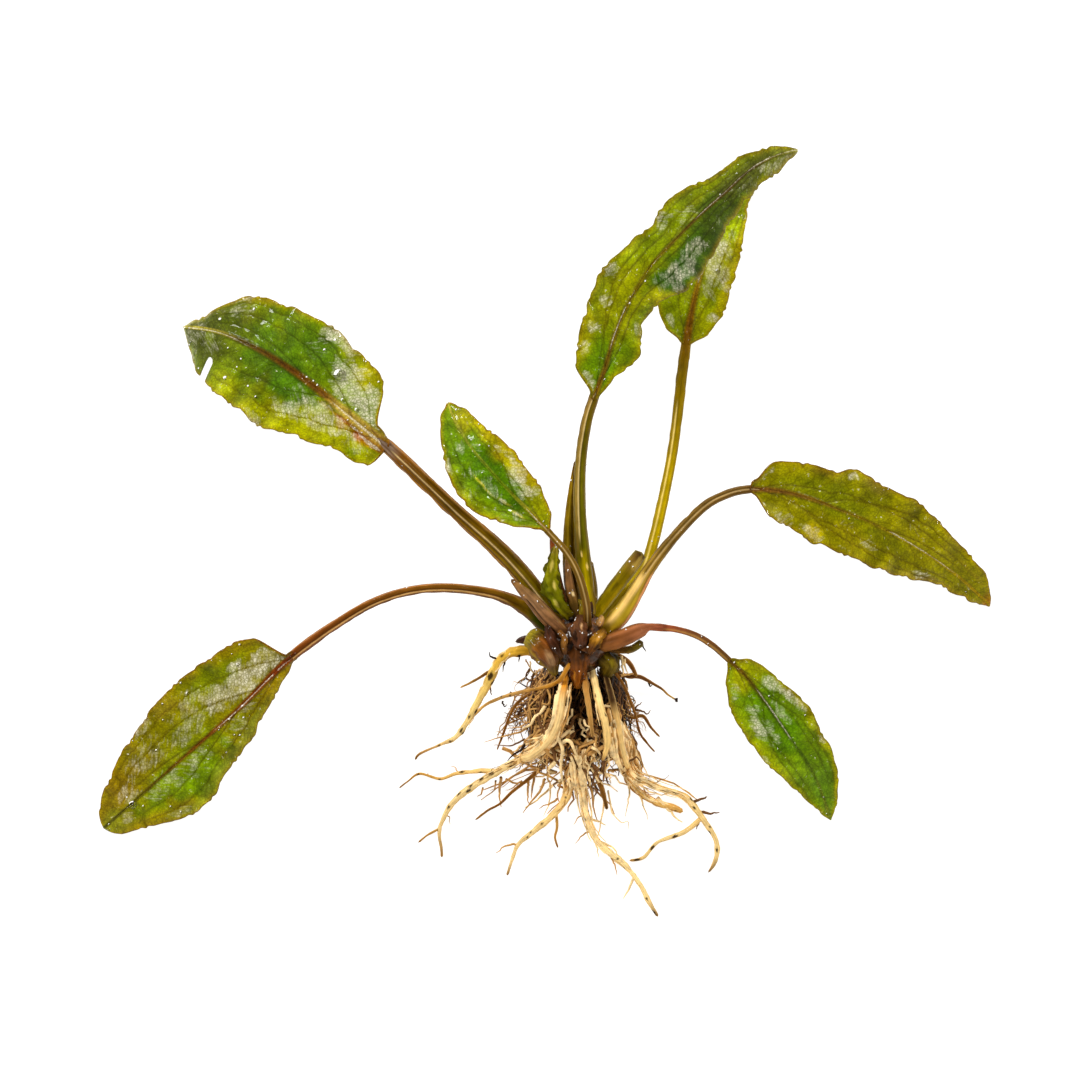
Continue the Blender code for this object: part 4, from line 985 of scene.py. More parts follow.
stalks["front"] = {
    "rows": [(2.4, 14.7, 13, 0.9), (2, 19.7, 18.5, 0.85), (0.4, 25.4, 21, 0.8), (-2, 29.7, 22.3, 0.75)],
    "colours": [(0, "5E4420"), (0.4, "665628"), (0.8, "6A5A18"), (1, "7E6410")],
    "side": "5A4A14", "ribs": (4, 0.06),
    # the pale B8B0A8 line is a painted highlight
    "lines": [(0, 0.14, 0.06, "B8B0A8", 0.8, 0.05, 1), (30, 0.14, 0.06, "3E300C", 0.6, 0.05, 1)],
}
stalks["top"] = {
    "rows": [
        (2.5, 16.6, 9, 1.7), (2.1, 22.1, 10, 1.7), (1.5, 28.1, 11, 1.6), (0.9, 35.9, 12.6, 1.3),
        (0.8, 43.8, 14, 1.2), (1.2, 49.6, 15, 1.15), (2.2, 55.5, 16, 1.1),
    ],
    "colours": [
        (0, "7A6E10"), (0.12, "807C08"), (0.28, "66700A"), (0.5, "626A0A"), (0.75, "5E5A0A"), (1, "5E420C"),
    ],
    "side": "7A6A3C", "ribs": (5, 0.12),
    "lines": [
        # the pale D8D4D4 line is a painted highlight
        (35, 0.3, 0.05, "8A7A52", 0.8, 0.25, 1), (14, 0.16, 0.1, "D8D4D4", 0.85, 0.3, 0.95),
        (0, 0.18, 0.1, "3A3A04", 0.8, 0.2, 1), (-40, 0.2, 0.06, "44420A", 0.6, 0.1, 1),
        (-10, 0.5, 0.1, "B8B800", 0.9, 0.04, 0.26),
    ],
    # the near-white patches are painted highlights
    "patches": [
        ("F4F0C0", 0.2, -25, 0.7, 0.25, 0.9), ("F0ECC0", 0.12, 5, 0.8, 0.2, 0.8),
        ("F4F0D0", 0.25, 10, 0.5, 0.2, 0.9),
    ],
}
stalks["back"] = {
    "rows": [
        (3.9, 15.2, 5.4, 1.5), (8.9, 20.7, 4, 1.4), (13.5, 25.6, 3.6, 1.3), (15.9, 33, 3.6, 1.2),
        (17.9, 41.9, 4, 1.15), (19.4, 49.9, 4.5, 1.1), (20.4, 57.8, 5, 1.1), (21.2, 64.8, 5, 1.15),
    ],
    "colours": [
        (0, "6E6A0A"), (0.15, "8A8608"), (0.3, "AEA800"), (0.5, "A8A000"), (0.62, "8A8000"),
        (0.8, "766A04"), (1, "7A4E08"),
    ],
    "side": "7A7400", "ribs": (4, 0.08),
    "lines": [
        # the pale E0E0C0 line is a painted highlight
        (20, 0.16, 0.08, "E0E0C0", 0.8, 0.2, 0.7), (48, 0.25, 0.08, "6A6000", 0.7, 0.2, 1),
        (-45, 0.2, 0.06, "6E6400", 0.6, 0.2, 1),
    ],
}
stalks["right"] = {
    "rows": [
        (5.2, 13.7, 11.5, 1.8), (8.7, 17.1, 12.5, 2), (12, 22.2, 13.2, 1.6), (14.6, 26.5, 13.6, 1.25),
        (19.5, 32.8, 14, 1.05), (25.4, 38.7, 13.5, 0.95), (30.3, 41.2, 12.6, 0.9),
    ],
    "colours": [
        (0, "8A7014"), (0.1, "B0A838"), (0.2, "A8A03C"), (0.3, "8A7A40"), (0.5, "6E5E34"), (0.8, "665434"),
        (1, "6A4028"),
    ],
    "side": "6A5A2A", "ribs": (5, 0.12),
    "lines": [
        (20, 0.2, 0.12, "443814", 0.75, 0.15, 1), (-60, 0.5, 0.0, "CE948C", 0.85, 0.02, 0.3),
        # the pale B0A8A4 and ECDCC0 lines are painted highlights
        (0, 0.16, 0.08, "B0A8A4", 0.8, 0.2, 0.97), (-32, 0.16, 0.08, "4A3A18", 0.7, 0.2, 1),
        (25, 0.65, 0.0, "ECDCC0", 0.9, 0.05, 0.28),
    ],
}
stalks["lower_right"] = {
    "rows": [
        (4.4, 11.2, 14, 1.6), (9.1, 12.8, 14.6, 1.8), (12.6, 14.3, 14.6, 1.5), (14.2, 14.9, 14.4, 0.85),
        (15.5, 14.9, 14.2, 0.8), (19.5, 14.5, 13.4, 0.7), (23.5, 13.3, 12.4, 0.7), (26.9, 11.3, 11.1, 0.7),
    ],
    "colours": [
        (0, "6A4C34"), (0.12, "865C4C"), (0.24, "8C6262"), (0.34, "9A5E60"), (0.36, "6A3434"),
        (0.38, "A05A58"), (0.5, "74544A"), (0.75, "5E5438"), (1, "5A5428"),
    ],
    "side": "6A4E34", "ribs": (4, 0.07),
    "lines": [
        (30, 0.25, 0.1, "5A3420", 0.6, 0.3, 1), (-20, 0.2, 0.08, "B89A78", 0.6, 0.35, 0.95),
        (10, 0.5, 0.2, "5E3A1C", 0.5, 0.05, 0.3),
    ],
}


# A stalk runs on under its blade as the foot of the midrib, thinner and thinner: at so many
# millimetres along it has this share of its radius and is sunk by so many radii
stalkFoot = ((0, 0.95, 0.2), (2, 0.8, 0.6), (5, 0.5, 0.9), (9, 0.2, 0.9))


def stalkRows(name):
    rows = list(stalks[name]["rows"])
    midrib = smoothRoute(leaves[name]["midrib"], 1.0)
    radius = rows[-1][3]
    for millimetres, share, sink in stalkFoot:
        rows.append((*(midrib[millimetres] - (0, 0, sink * radius * share)), radius * share))
    return rows


for number, (name, look) in enumerate(stalks.items()):
    look["skin"] = petioleSkin
    makeTube("petiole_" + name, stalkRows(name), look, ["stalk_" + name], 400 + 3 * number)
print("stalks made")

# The crown: the newest leaves, and what is left of old ones
crown = {}
crown["leaf_spear"] = {
    "rows": [
        (0.1, 17.7, 7, 1.1), (-0.7, 22.1, 7.6, 1.4), (-1.1, 28, 8.6, 1.5), (-1.1, 34, 9.4, 1.3),
        (-0.9, 38.9, 10, 1), (-0.5, 43.8, 10.6, 0.6), (-0.1, 47.6, 11, 0.25),
    ],
    "slot": "leaf", "skin": petioleSkin,
    "colours": [(0, "5A4A10"), (0.3, "6E6208"), (0.6, "7A7008"), (0.85, "7C6A0C"), (1, "5E4410")],
    "side": "5E4E08", "ribs": (3, 0.12),
    "lines": [(-25, 0.25, 0.3, "3A2C06", 0.8, 0.05, 1), (20, 0.2, 0.05, "A89C38", 0.5, 0.3, 0.9)],
}
crown["leaf_young"] = {
    "rows": [
        (-1.1, 16.7, 12.5, 1.3), (-3.5, 19.8, 14.4, 1.5), (-4.8, 23, 14.8, 1.9), (-4.6, 26.5, 14.8, 1.4),
        (-4.1, 29.5, 14.8, 0.9), (-3.9, 31, 14.8, 0.4),
    ],
    "slot": "leaf", "skin": petioleSkin,
    "colours": [(0, "5E5A0A"), (0.3, "667408"), (0.6, "728006"), (0.85, "8A9410"), (1, "B0AC60")],
    "side": "3E4604", "ribs": (5, 0.35), "lumps": 0.36, "lumpSize": 1.2,
    "patches": [
        # the pale patches are painted highlights
        ("C8CC8A", 0.75, 10, 1.2, 0.5, 0.7), ("DADCA8", 0.5, -20, 0.9, 0.3, 0.7),
        ("4A5A08", 0.45, 40, 2.0, 0.5, 0.7), ("C6CA90", 0.3, 15, 0.7, 0.3, 0.5),
    ],
}
crown["stalk_cut"] = {
    "rows": [
        (2.5, 15, 6.5, 1.2), (5.2, 19, 7.3, 1.4), (7.8, 22.5, 8.3, 1.5), (10.8, 26.5, 9.4, 1.5),
        (13.1, 29.6, 9.8, 1.3),
    ],
    "slot": "stalk", "skin": petioleSkin,
    "colours": [
        (0, "8A7A12"), (0.2, "98960A"), (0.5, "8A8808"), (0.72, "7E7810"), (0.85, "7C6C3C"),
        (0.95, "5A4A2C"), (1, "1E1610"),
    ],
    "side": "7E7C08", "ribs": (5, 0.1), "bluntness": 0.35,
    "patches": [("A0996A", 0.87, -30, 1.8, 0.8, 0.7), ("2E2C08", 0.55, 10, 1.6, 0.3, 0.5)],
    "lines": [(-30, 0.4, 0.06, "9A9212", 0.8, 0.05, 0.6)],
}
crown["sheath_upper_left"] = {
    "rows": [
        (-1.9, 13.1, 12.5, 1.5), (-5.6, 16.9, 14.5, 1.6), (-8, 19.7, 14.6, 1.4), (-10.5, 22.2, 14.3, 1),
        (-12.7, 24.3, 13.8, 0.35),
    ],
    "colours": [(0, "4A2C18"), (0.25, "7E5C48"), (0.6, "8C7060"), (0.9, "8A6A4C"), (1, "5A3A1C")],
    "side": "5E3C1E", "ribs": (7, 0.08), "flat": 0.8,
    "lines": [(40, 0.2, 0.25, "2A180C", 0.9, 0.1, 0.7), (-50, 0.3, 0.1, "A88A68", 0.6, 0.1, 0.9)],
}
crown["sheath_back"] = {
    "rows": [
        (-0.7, 16.6, 9.6, 0.9), (-2.5, 20.2, 9.9, 1), (-3.8, 25.1, 10.3, 0.9), (-4.4, 29.6, 10.6, 0.7),
        (-4.8, 33.2, 10.8, 0.25),
    ],
    "colours": [(0, "5A3A1C"), (0.5, "8A5A2A"), (0.8, "9E5A30"), (1, "8A4A28")],
    "side": "6A4020", "ribs": (5, 0.06),
}
crown["sheath_middle"] = {
    "rows": [(0.7, 15.9, 12, 1), (-0.7, 20.6, 13, 1.1), (-1.5, 24.9, 12.8, 0.9), (-1.7, 28.7, 12.5, 0.35)],
    "colours": [(0, "3E2A14"), (0.3, "5E4A20"), (0.6, "86644A"), (1, "8A6A4C")],
    "side": "4A3418", "ribs": (5, 0.1),
    # the near-white patch is a painted highlight
    "patches": [("E8DCC8", 0.45, -20, 0.5, 0.3, 0.8)],
}
crown["sheath_right"] = {
    "rows": [(3.3, 15.8, 5, 0.9), (3.6, 19.7, 4.6, 0.9), (3.6, 23.1, 5.5, 0.8), (3.2, 27.8, 6.8, 0.3)],
    "colours": [(0, "5A4820"), (0.5, "7E703A"), (1, "8A7440")],
    "side": "5A4A1C", "ribs": (5, 0.08),
}
crown["sheath_lower_left"] = {
    "rows": [
        (-9.7, 13.3, 13, 1.5), (-7.8, 12.2, 13.6, 2.5), (-6, 10.2, 13.6, 2.8), (-4.9, 8, 13, 2),
        (-4, 5.2, 12, 0.4),
    ],
    "colours": [
        (0, "76701E"), (0.15, "6E6418"), (0.3, "7A5020"), (0.5, "74482A"), (0.7, "6E5040"),
        (0.88, "74663C"), (1, "7E7424"),
    ],
    "side": "6E5A16", "lumps": 0.2, "lumpSize": 1.6, "ribs": (9, 0.22), "flat": 0.75, "bluntness": 0.4,
    "lines": [(62, 0.4, 0.3, "1E120A", 0.85, 0.2, 0.8), (-58, 0.4, 0.1, "8A7A2C", 0.8, 0.0, 0.95)],
    "patches": [
        # the pale A08878 patch is a painted highlight
        ("A08878", 0.6, 5, 1.6, 0.8, 0.7), ("8E5426", 0.35, 30, 1.4, 0.9, 0.6),
        ("2A1810", 0.5, 80, 1.8, 0.9, 0.8), ("86801E", 0.08, 0, 1.0, 2.4, 0.8),
    ],
}
crown["stub_left"] = {
    "rows": [(-4.6, 13.4, 8.6, 1), (-8.8, 12.6, 9, 0.9), (-10.6, 12.2, 9, 0.75), (-11.9, 11.9, 9, 0.25)],
    "colours": [(0, "2A1A12"), (0.7, "3A2018"), (1, "4A342C")],
    "ribs": (5, 0.12), "lumps": 0.2,
}
crown["stub_right"] = {
    "rows": [(5.2, 10.8, 10.6, 0.8), (10.4, 10.4, 11.4, 0.8), (13.3, 12, 11.8, 0.8)],
    "colours": [(0, "4A2C18"), (0.5, "6A5028"), (0.85, "6E6A24"), (1, "3A3010")],
    "ribs": (5, 0.1), "bluntness": 0.3,
}
crown["old_leaf_foot"] = {
    "rows": [(3.3, 11.1, 9.5, 1.6), (5.6, 9.1, 9.6, 2), (6.8, 7.3, 9.2, 2), (5.7, 4.7, 8.4, 1.2)],
    "colours": [(0, "3A2410"), (0.3, "34280C"), (0.55, "6C6014"), (0.8, "665814"), (1, "2A2008")],
    "side": "26200A", "ribs": (6, 0.14), "lumps": 0.18,
    "patches": [("8C8424", 0.5, 10, 1.2, 0.5, 0.8), ("140C06", 0.4, 50, 1.6, 0.5, 0.9)],
}

for number, (name, look) in enumerate(crown.items()):
    look.setdefault("skin", sheathSkin)
    makeTube("crown_" + name, look["rows"], look, [name], 500 + 3 * number)

# Torn bases of older leaves, which wrap the rhizome and hide most of it
scales = {}
scales["collar"] = {
    "rows": [
        (0.9, 12.8, 13.2, 1.6), (0.6, 9.8, 13.4, 2.3), (0.6, 7, 12.4, 1.9), (0.4, 4.2, 11, 1.2),
        (0.4, 2.6, 10, 0.5),
    ],
    "colours": [(0, "3A2214"), (0.35, "5E3A20"), (0.6, "804C1C"), (0.85, "A8681E"), (1, "B87C2C")],
    "side": "5A3414", "ribs": (12, 0.26), "lumps": 0.28, "flat": 0.7,
    "patches": [
        ("1A0E08", 0.25, 20, 1.2, 0.8, 0.9), ("D89A3C", 0.7, -30, 1.4, 0.25, 0.8),
        ("2A160A", 0.7, 35, 1.2, 0.3, 0.8),
    ],
}
scales["bump"] = {
    "rows": [(1, 17.4, 13.6, 0.7), (0.8, 14.6, 15.2, 1.5), (0.8, 12.4, 15.4, 1.5), (1.2, 10.6, 14.8, 0.6)],
    "colours": [(0, "4A3020"), (0.4, "6E4A38"), (0.7, "54342A"), (1, "2E1C12")],
    "lumps": 0.32,
    # the pale C8A890 patch is a painted highlight
    "patches": [("C8A890", 0.42, 10, 0.5, 0.25, 0.7), ("1C100A", 0.62, -40, 0.8, 0.5, 0.8)],
}
scales["left_scale"] = {
    "rows": [(-5.6, 15.4, 14.6, 0.5), (-4.9, 13, 15.4, 1.1), (-3.6, 10.8, 15.6, 1.0), (-2.6, 8.8, 15, 0.4)],
    "colours": [(0, "2A160E"), (0.4, "4A2A1C"), (0.7, "2E1A10"), (1, "5A3A20")],
    "lumps": 0.34,
}
scales["left_rim"] = {
    "rows": [(-3.4, 14.4, 15.2, 0.5), (-2.2, 12.6, 16, 0.7), (-2.4, 11, 16, 0.6), (-2, 9.4, 15.4, 0.3)],
    "colours": [(0, "6A4624"), (0.5, "90683A"), (1, "4A2C18")],
    "lumps": 0.36,
}
scales["right_scale"] = {
    "rows": [(5.8, 14.6, 15, 0.6), (4.4, 12.8, 15.6, 1.2), (3.2, 11, 15.4, 1.0), (2.4, 9.4, 14.8, 0.4)],
    "colours": [(0, "6A4A18"), (0.4, "96701E"), (0.7, "6A4420"), (1, "3A2212")],
    "lumps": 0.32,
    "patches": [("C89A4C", 0.35, 0, 0.8, 0.4, 0.7), ("241408", 0.6, 50, 0.8, 0.5, 0.8)],
}
# a bud whose pale middle and end are painted highlight
scales["pale_bud"] = {
    "rows": [(4.4, 15, 14.6, 1.0), (4.9, 16.4, 15.2, 0.8), (5, 17.4, 15.4, 0.25)],
    "colours": [(0, "6A4A34"), (0.4, "A88668"), (0.8, "C0A078"), (1, "8A6A44")],
}
scales["dark_bud"] = {
    "rows": [(2.8, 16.4, 13, 0.8), (2.7, 18.4, 13.4, 0.75), (3.2, 20, 13.4, 0.2)],
    "colours": [(0, "1E120A"), (0.6, "2E1C10"), (1, "4A3018")],
    "lumps": 0.36,
}
scales["rear_olive"] = {
    "rows": [(1.6, 15.4, 12.6, 1.0), (1.4, 18.4, 13.2, 0.9), (0.6, 20.4, 13, 0.3)],
    "colours": [(0, "5A4614"), (0.5, "8A7A20"), (1, "6A6014")],
    "ribs": (5, 0.08), "flat": 0.7,
}
scaleForm = {"skin": sheathSkin, "lumps": 0.26, "lumpSize": 1.1, "ribs": (9, 0.14)}
for number, (name, look) in enumerate(scales.items()):
    makeTube("crown_" + name, look["rows"], {**scaleForm, **look}, [], 560 + 3 * number)


def makeBall(name, cells, chartSize, place, node):
    # a ball whose points and colours are as place() says, with so many cells round and up
    bm = bmesh.new()
    bm.loops.layers.uv.new("map")
    bmesh.ops.create_uvsphere(bm, u_segments=cells[0], v_segments=cells[1], radius=1, calc_uvs=True)
    mesh = bpy.data.meshes.new(name)
    bm.to_mesh(mesh)
    bm.free()
    flat = np.zeros(len(mesh.vertices) * 3)
    mesh.vertices.foreach_get("co", flat)
    points, colour = place(flat.reshape(-1, 3))
    mesh.vertices.foreach_set("co", (points * mm).ravel())
    chart = np.zeros(len(mesh.loops) * 2)
    mesh.uv_layers["map"].data.foreach_get("uv", chart)
    mesh.uv_layers["map"].data.foreach_set("uv", chart * chartSize)
    paint(mesh, "pigment", colour)
    addPiece(name, mesh, [rhizomeSkin], [node])


# The rhizome: a short lumpy stem with the scars of old leaves round it
stem = {"centre": (1, 12, 8.5), "radii": (6.2, 6.5, 6.5), "lumps": (2.2, 0.8), "sink": 0.3}


def placeStem(ball):
    points = ball * stem["radii"] + stem["centre"]
    scars = np.sin(9 * ball[:, 2] + 2.5 * grain(ball, 0.5, 71))
    coarse, fine = (grain(points, size, seed) for size, seed in zip(stem["lumps"], (72, 73)))
    points += ball * (0.4 * coarse + 0.15 * scars + 0.2 * fine - stem["sink"])[:, None]
    colour = np.tile(linear("3A2214"), (len(points), 1))
    colour = blendIn(colour, "6E4426", ease(0.0, 0.6, coarse))
    colour = blendIn(colour, "140B06", ease(0.1, 0.5, -coarse))
    return points, blendIn(colour, "9A6028", 0.6 * ease(0.25, 0.5, grain(points, 1.4, 74)))


makeBall("rhizome_bark", (96, 64), 30, placeStem, "rhizome")
print("crown made")

# The root mass is squarish from above and round on top, and rests on the table. Its core is a
# little smaller and stops short of the lower fringe
mass = {
    "centre": (0.3, -5, 3),
    "radii": (10.4, 12, 11),
    "squareness": 3,
    "slope": 0.03,
    "fall": 14,  # how steeply strands hang down beside it
    "lowest": 0.25,
    "core": 0.88,
    "strandScale": (1.5, 0.35, 1),
    "shortFrom": -4,
    "shortening": 0.55,
}


def massReach(x, y, clear):
    # 0 in the middle of the root mass and 1 at its edge, seen from above
    power = mass["squareness"]
    reach = [
        np.abs((place - middle) / (radius + clear)) ** power
        for place, middle, radius in zip((x, y), mass["centre"], mass["radii"])
    ]
    return sum(reach) ** (1 / power)


def massSlope(y):
    return 1 - mass["slope"] * np.maximum(0, mass["centre"][1] - y)


def massTop(x, y, clear):
    # the height of the root mass with this much room round it, or 0 beside it
    outward = massReach(x, y, clear)
    height = (mass["radii"][2] + clear) * massSlope(y) * np.sqrt(np.maximum(0, 1 - outward**2))
    return np.where(outward < 1, mass["centre"][2] + height, 0)


# Roots: cream and waxy, orange where they leave the crown, with dark nodes at (x, y, size). Those
# that lie over the root mass are lifted onto it, so their own heights there are 0
paleRoot = [
    (0, "A8702C"), (0.08, "C08A3C"), (0.2, "DCC498"), (0.6, "E6D2A8"), (0.9, "D0B07C"), (1, "A87838"),
]
brownRoot = [(0, "6A441C"), (0.4, "7A5220"), (0.8, "6B4318"), (1, "8A6428")]
roots = {}
roots["root_left_yellow"] = {
    "rows": [
        (-3.8, 10.3, 9, 1.1), (-8, 10.1, 9, 1.15), (-11.3, 10.1, 9, 1.15), (-14.3, 8.9, 8.5, 1.05),
        (-16.1, 6.3, 8, 0.95), (-17.7, 2.9, 7, 0.85), (-19.5, -0.5, 5.4, 0.7), (-21.5, -4.2, 3.4, 0.6),
        (-23.9, -7.4, 1.8, 0.5), (-27, -8.9, 1, 0.3), (-31, -10.7, 0.7, 0.25), (-32, -12, 0.5, 0.25),
    ],
    "colours": [
        (0, "8A6414"), (0.15, "C09A2C"), (0.3, "D2B050"), (0.5, "DCC888"), (0.75, "E0CEA4"),
        (0.92, "B8905C"), (1, "4A2C10"),
    ],
    "spots": [
        (-11.2, 9.4, 0.4), (-14.1, 8.8, 0.35), (-16.8, 5.6, 0.7), (-16.1, 3.9, 0.5), (-20, -1.6, 0.5),
        (-22, -2.4, 0.35), (-22.4, -5.8, 0.4), (-23.6, -5.6, 0.35), (-24.8, -8, 0.35), (-27, -8.9, 0.3),
    ],
}
roots["root_left_yellow_fork"] = {
    "rows": [(-15.7, 6.8, 8, 0.4), (-20.1, 4.1, 7.2, 0.3), (-22.9, 2.7, 6.4, 0.2)],
    "colours": [(0, "4A2C12"), (0.4, "6A441C"), (1, "A8844C")],
}
roots["root_left_golden"] = {
    "rows": [
        (-1.1, 8, 13.2, 0.5), (-3, 4.6, 12.9, 0.5), (-5.4, 3.2, 0, 0.45), (-8.4, 2.5, 9, 0.4),
        (-11.9, 1.6, 6.8, 0.4), (-14.9, 0.6, 5, 0.35), (-17.5, -0.6, 3.4, 0.35), (-19.7, -2.5, 2.2, 0.3),
        (-22.3, -5.7, 1.2, 0.2),
    ],
    "colours": [(0, "B07A24"), (0.25, "AC7C2C"), (0.5, "A88450"), (0.75, "CBA870"), (1, "D8B878")],
    "spots": [(-12.9, 1.4, 0.35), (-14.2, 0.2, 0.3)],
    "overMass": True,
}
roots["root_left_main"] = {
    "rows": [
        (-1.5, 7.6, 11, 0.7), (-2.4, 2, 0, 0.8), (-3.4, -3.6, 0, 1), (-5.4, -7.6, 0, 1.1),
        (-8.4, -10.4, 0, 1.2), (-11.9, -12.1, 6, 1.3), (-14.9, -13.7, 4.2, 1.25), (-18.9, -16.2, 2.8, 0.95),
        (-22.5, -18.6, 1.9, 0.7), (-25, -21.3, 1.4, 0.55), (-26.4, -23.9, 1.1, 0.45),
        (-27.2, -26.3, 0.9, 0.4), (-26.8, -28.9, 0.7, 0.35), (-26.6, -31.5, 0.5, 0.3),
    ],
    "colours": [
        (0, "6A3E10"), (0.06, "A0661A"), (0.12, "CC8E2C"), (0.18, "DCC69E"), (0.4, "DEC89E"),
        (0.7, "E2D0A8"), (0.9, "DCC8A0"), (1, "8A6028"),
    ],
    "spots": [
        (-13.2, -12, 0.35), (-16.8, -14, 0.5), (-18.6, -15.6, 0.5), (-21.2, -18.2, 0.45),
        (-22.6, -14.4, 0.4), (-22.8, -19, 0.35), (-25, -21.4, 0.35), (-27.2, -26, 0.3),
    ],
    "overMass": True,
}
roots["root_left_main_fork"] = {
    "rows": [
        (-15.6, -14, 3.6, 0.6), (-18.6, -14, 2.8, 0.5), (-21.4, -14.3, 1.8, 0.4), (-24, -14.7, 1.2, 0.35),
        (-27, -15.7, 0.9, 0.3), (-31, -14.7, 0.7, 0.25), (-33.4, -16.2, 0.6, 0.2), (-35.2, -17.6, 0.5, 0.2),
    ],
    "colours": [(0, "E6CC98"), (0.4, "D8B87C"), (0.7, "C0944C"), (1, "7A5020")],
    "spots": [(-18.7, -14, 0.35), (-22.5, -14.4, 0.4), (-27, -15.8, 0.3), (-31.4, -14.9, 0.3)],
}
roots["root_left_main_tip_fork"] = {
    "rows": [(-27, -25.6, 0.9, 0.3), (-29.4, -26.9, 0.6, 0.25), (-31.4, -28.5, 0.5, 0.2)],
    "colours": [(0, "C09858"), (1, "8A6028")],
}
roots["root_left_fine"] = {
    "rows": [
        (-6.4, 3.2, 7.5, 0.35), (-11.2, -0.1, 4.6, 0.35), (-13, -3, 3, 0.3), (-14.2, -6.3, 1.5, 0.3),
        (-15.6, -10, 0.5, 0.2),
    ],
    "brown": True,
}
roots["root_lower_left"] = {
    "rows": [
        (-0.6, -12.7, 5, 0.9), (-1, -16.7, 3.8, 0.85), (-2, -19.7, 2.8, 0.8), (-4, -22.4, 2.2, 0.7),
        (-6.4, -24.6, 1.7, 0.65), (-9, -26.7, 1.3, 0.55), (-11.4, -28.9, 1, 0.45),
        (-12.6, -31.9, 0.8, 0.35), (-13.6, -35.1, 0.5, 0.25),
    ],
    "colours": [(0, "D8B070"), (0.3, "E6CC98"), (0.6, "E4D0A6"), (0.9, "E2CEA8"), (1, "8A6028")],
    "spots": [
        (-8.8, -26.4, 0.3), (-9.2, -27.4, 0.25), (-6.2, -25, 0.3), (-4.4, -23.4, 0.3), (-1.8, -19, 0.3),
    ],
}
roots["root_lower_left_fork"] = {
    "rows": [
        (-3.8, -21.9, 2.2, 0.35), (-3.6, -25.3, 1.2, 0.3), (-4, -27.4, 0.8, 0.25), (-3.4, -29.6, 0.5, 0.2),
    ],
    "colours": [(0, "D0AC70"), (0.6, "B08444"), (1, "7A5020")],
}
roots["root_lower_left_fine"] = {
    "rows": [
        (-3.8, -10.1, 5, 0.5), (-6.8, -13.4, 3.4, 0.5), (-9.6, -15.9, 2.2, 0.4), (-12.6, -18.3, 1.3, 0.35),
        (-15, -20.7, 0.8, 0.3), (-17.4, -22, 0.6, 0.25), (-20, -24, 0.5, 0.2),
    ],
    "brown": True,
}
roots["root_centre"] = {
    "rows": [
        (-0.1, -10, 7, 1.2), (0.6, -14, 5.6, 1.2), (1.4, -18.7, 3.8, 1), (2.4, -23.3, 2.6, 0.95),
        (4, -27.4, 1.9, 0.85), (6.6, -30.2, 1.5, 0.75), (9.4, -32.3, 1.2, 0.6), (11.8, -35.1, 1, 0.5),
        (13.6, -37.9, 0.8, 0.5), (15, -40.7, 0.7, 0.45), (16.6, -43.3, 0.5, 0.3),
    ],
    "colours": [(0, "EAD0A0"), (0.3, "F6E6C0"), (0.7, "F0DEB4"), (0.9, "E8D4A8"), (1, "5A3814")],
    "spots": [
        (1.6, -22.2, 0.3), (2.8, -23.2, 0.3), (8, -32.2, 0.3), (11, -32.4, 0.3), (14.6, -39.6, 0.3),
        (0.8, -17.2, 0.3), (16, -42.2, 0.4),
    ],
}
roots["root_centre_short"] = {
    "rows": [(2.9, -12.1, 5, 0.6), (4.8, -16.2, 3, 0.6), (5.8, -19.3, 2, 0.5), (6.4, -21.9, 1.2, 0.35)],
    "colours": [(0, "A87838"), (0.5, "8A6028"), (1, "4A3014")],
}
roots["root_front"] = {
    "rows": [
        (2.8, 8.8, 11, 0.7), (3.8, 4, 0, 0.7), (4.8, -0.6, 0, 0.75), (6, -5, 0, 0.8), (6.2, -8.4, 0, 0.7),
        (5.2, -11.6, 0, 0.3),
    ],
    "colours": [(0, "C88838"), (0.15, "F0DCB0"), (0.5, "ECD6A6"), (0.9, "E0C48C"), (1, "A88048")],
    "spots": [(4, 1.2, 0.3), (5.4, -2.4, 0.3)],
    "overMass": True,
}
roots["root_front_thin"] = {
    "rows": [(1.5, 8.4, 11, 0.55), (2, 3.2, 0, 0.6), (2.6, -1.2, 0, 0.55), (3.4, -6.8, 0, 0.3)],
    "colours": [(0, "B86C20"), (0.3, "A87434"), (0.7, "B89058"), (1, "8A6A40")],
    "overMass": True,
}
roots["root_right_main"] = {
    "rows": [
        (6, 5.4, 9, 0.6), (7.6, -1, 0, 0.8), (8.6, -6, 0, 0.9), (9.6, -11, 0, 1), (11.4, -14.6, 5, 1),
        (14.3, -16.3, 3.6, 1), (17.9, -17.8, 2.6, 1), (21.9, -19.2, 2, 1), (24.5, -22.3, 1.4, 0.8),
        (26.5, -25.1, 1.1, 0.55), (28.1, -27.9, 0.9, 0.5), (28.4, -30.5, 0.7, 0.5), (27.6, -33.1, 0.6, 0.4),
        (26.6, -34.5, 0.5, 0.2),
    ],
    "colours": [
        (0, "2A1A0C"), (0.11, "3A2612"), (0.17, "D2B480"), (0.3, "E6CE9E"), (0.5, "E2C488"),
        (0.75, "E4D0A4"), (0.92, "E0CCA0"), (1, "6A4820"),
    ],
    "spots": [
        (12.6, -15.2, 0.35), (17.6, -18.2, 0.35), (20, -18.8, 0.45), (23, -19.8, 0.4), (24.2, -21, 0.3),
        (26.4, -25.4, 0.3), (27, -26.4, 0.35), (28.4, -29.6, 0.35),
    ],
    "overMass": True,
}
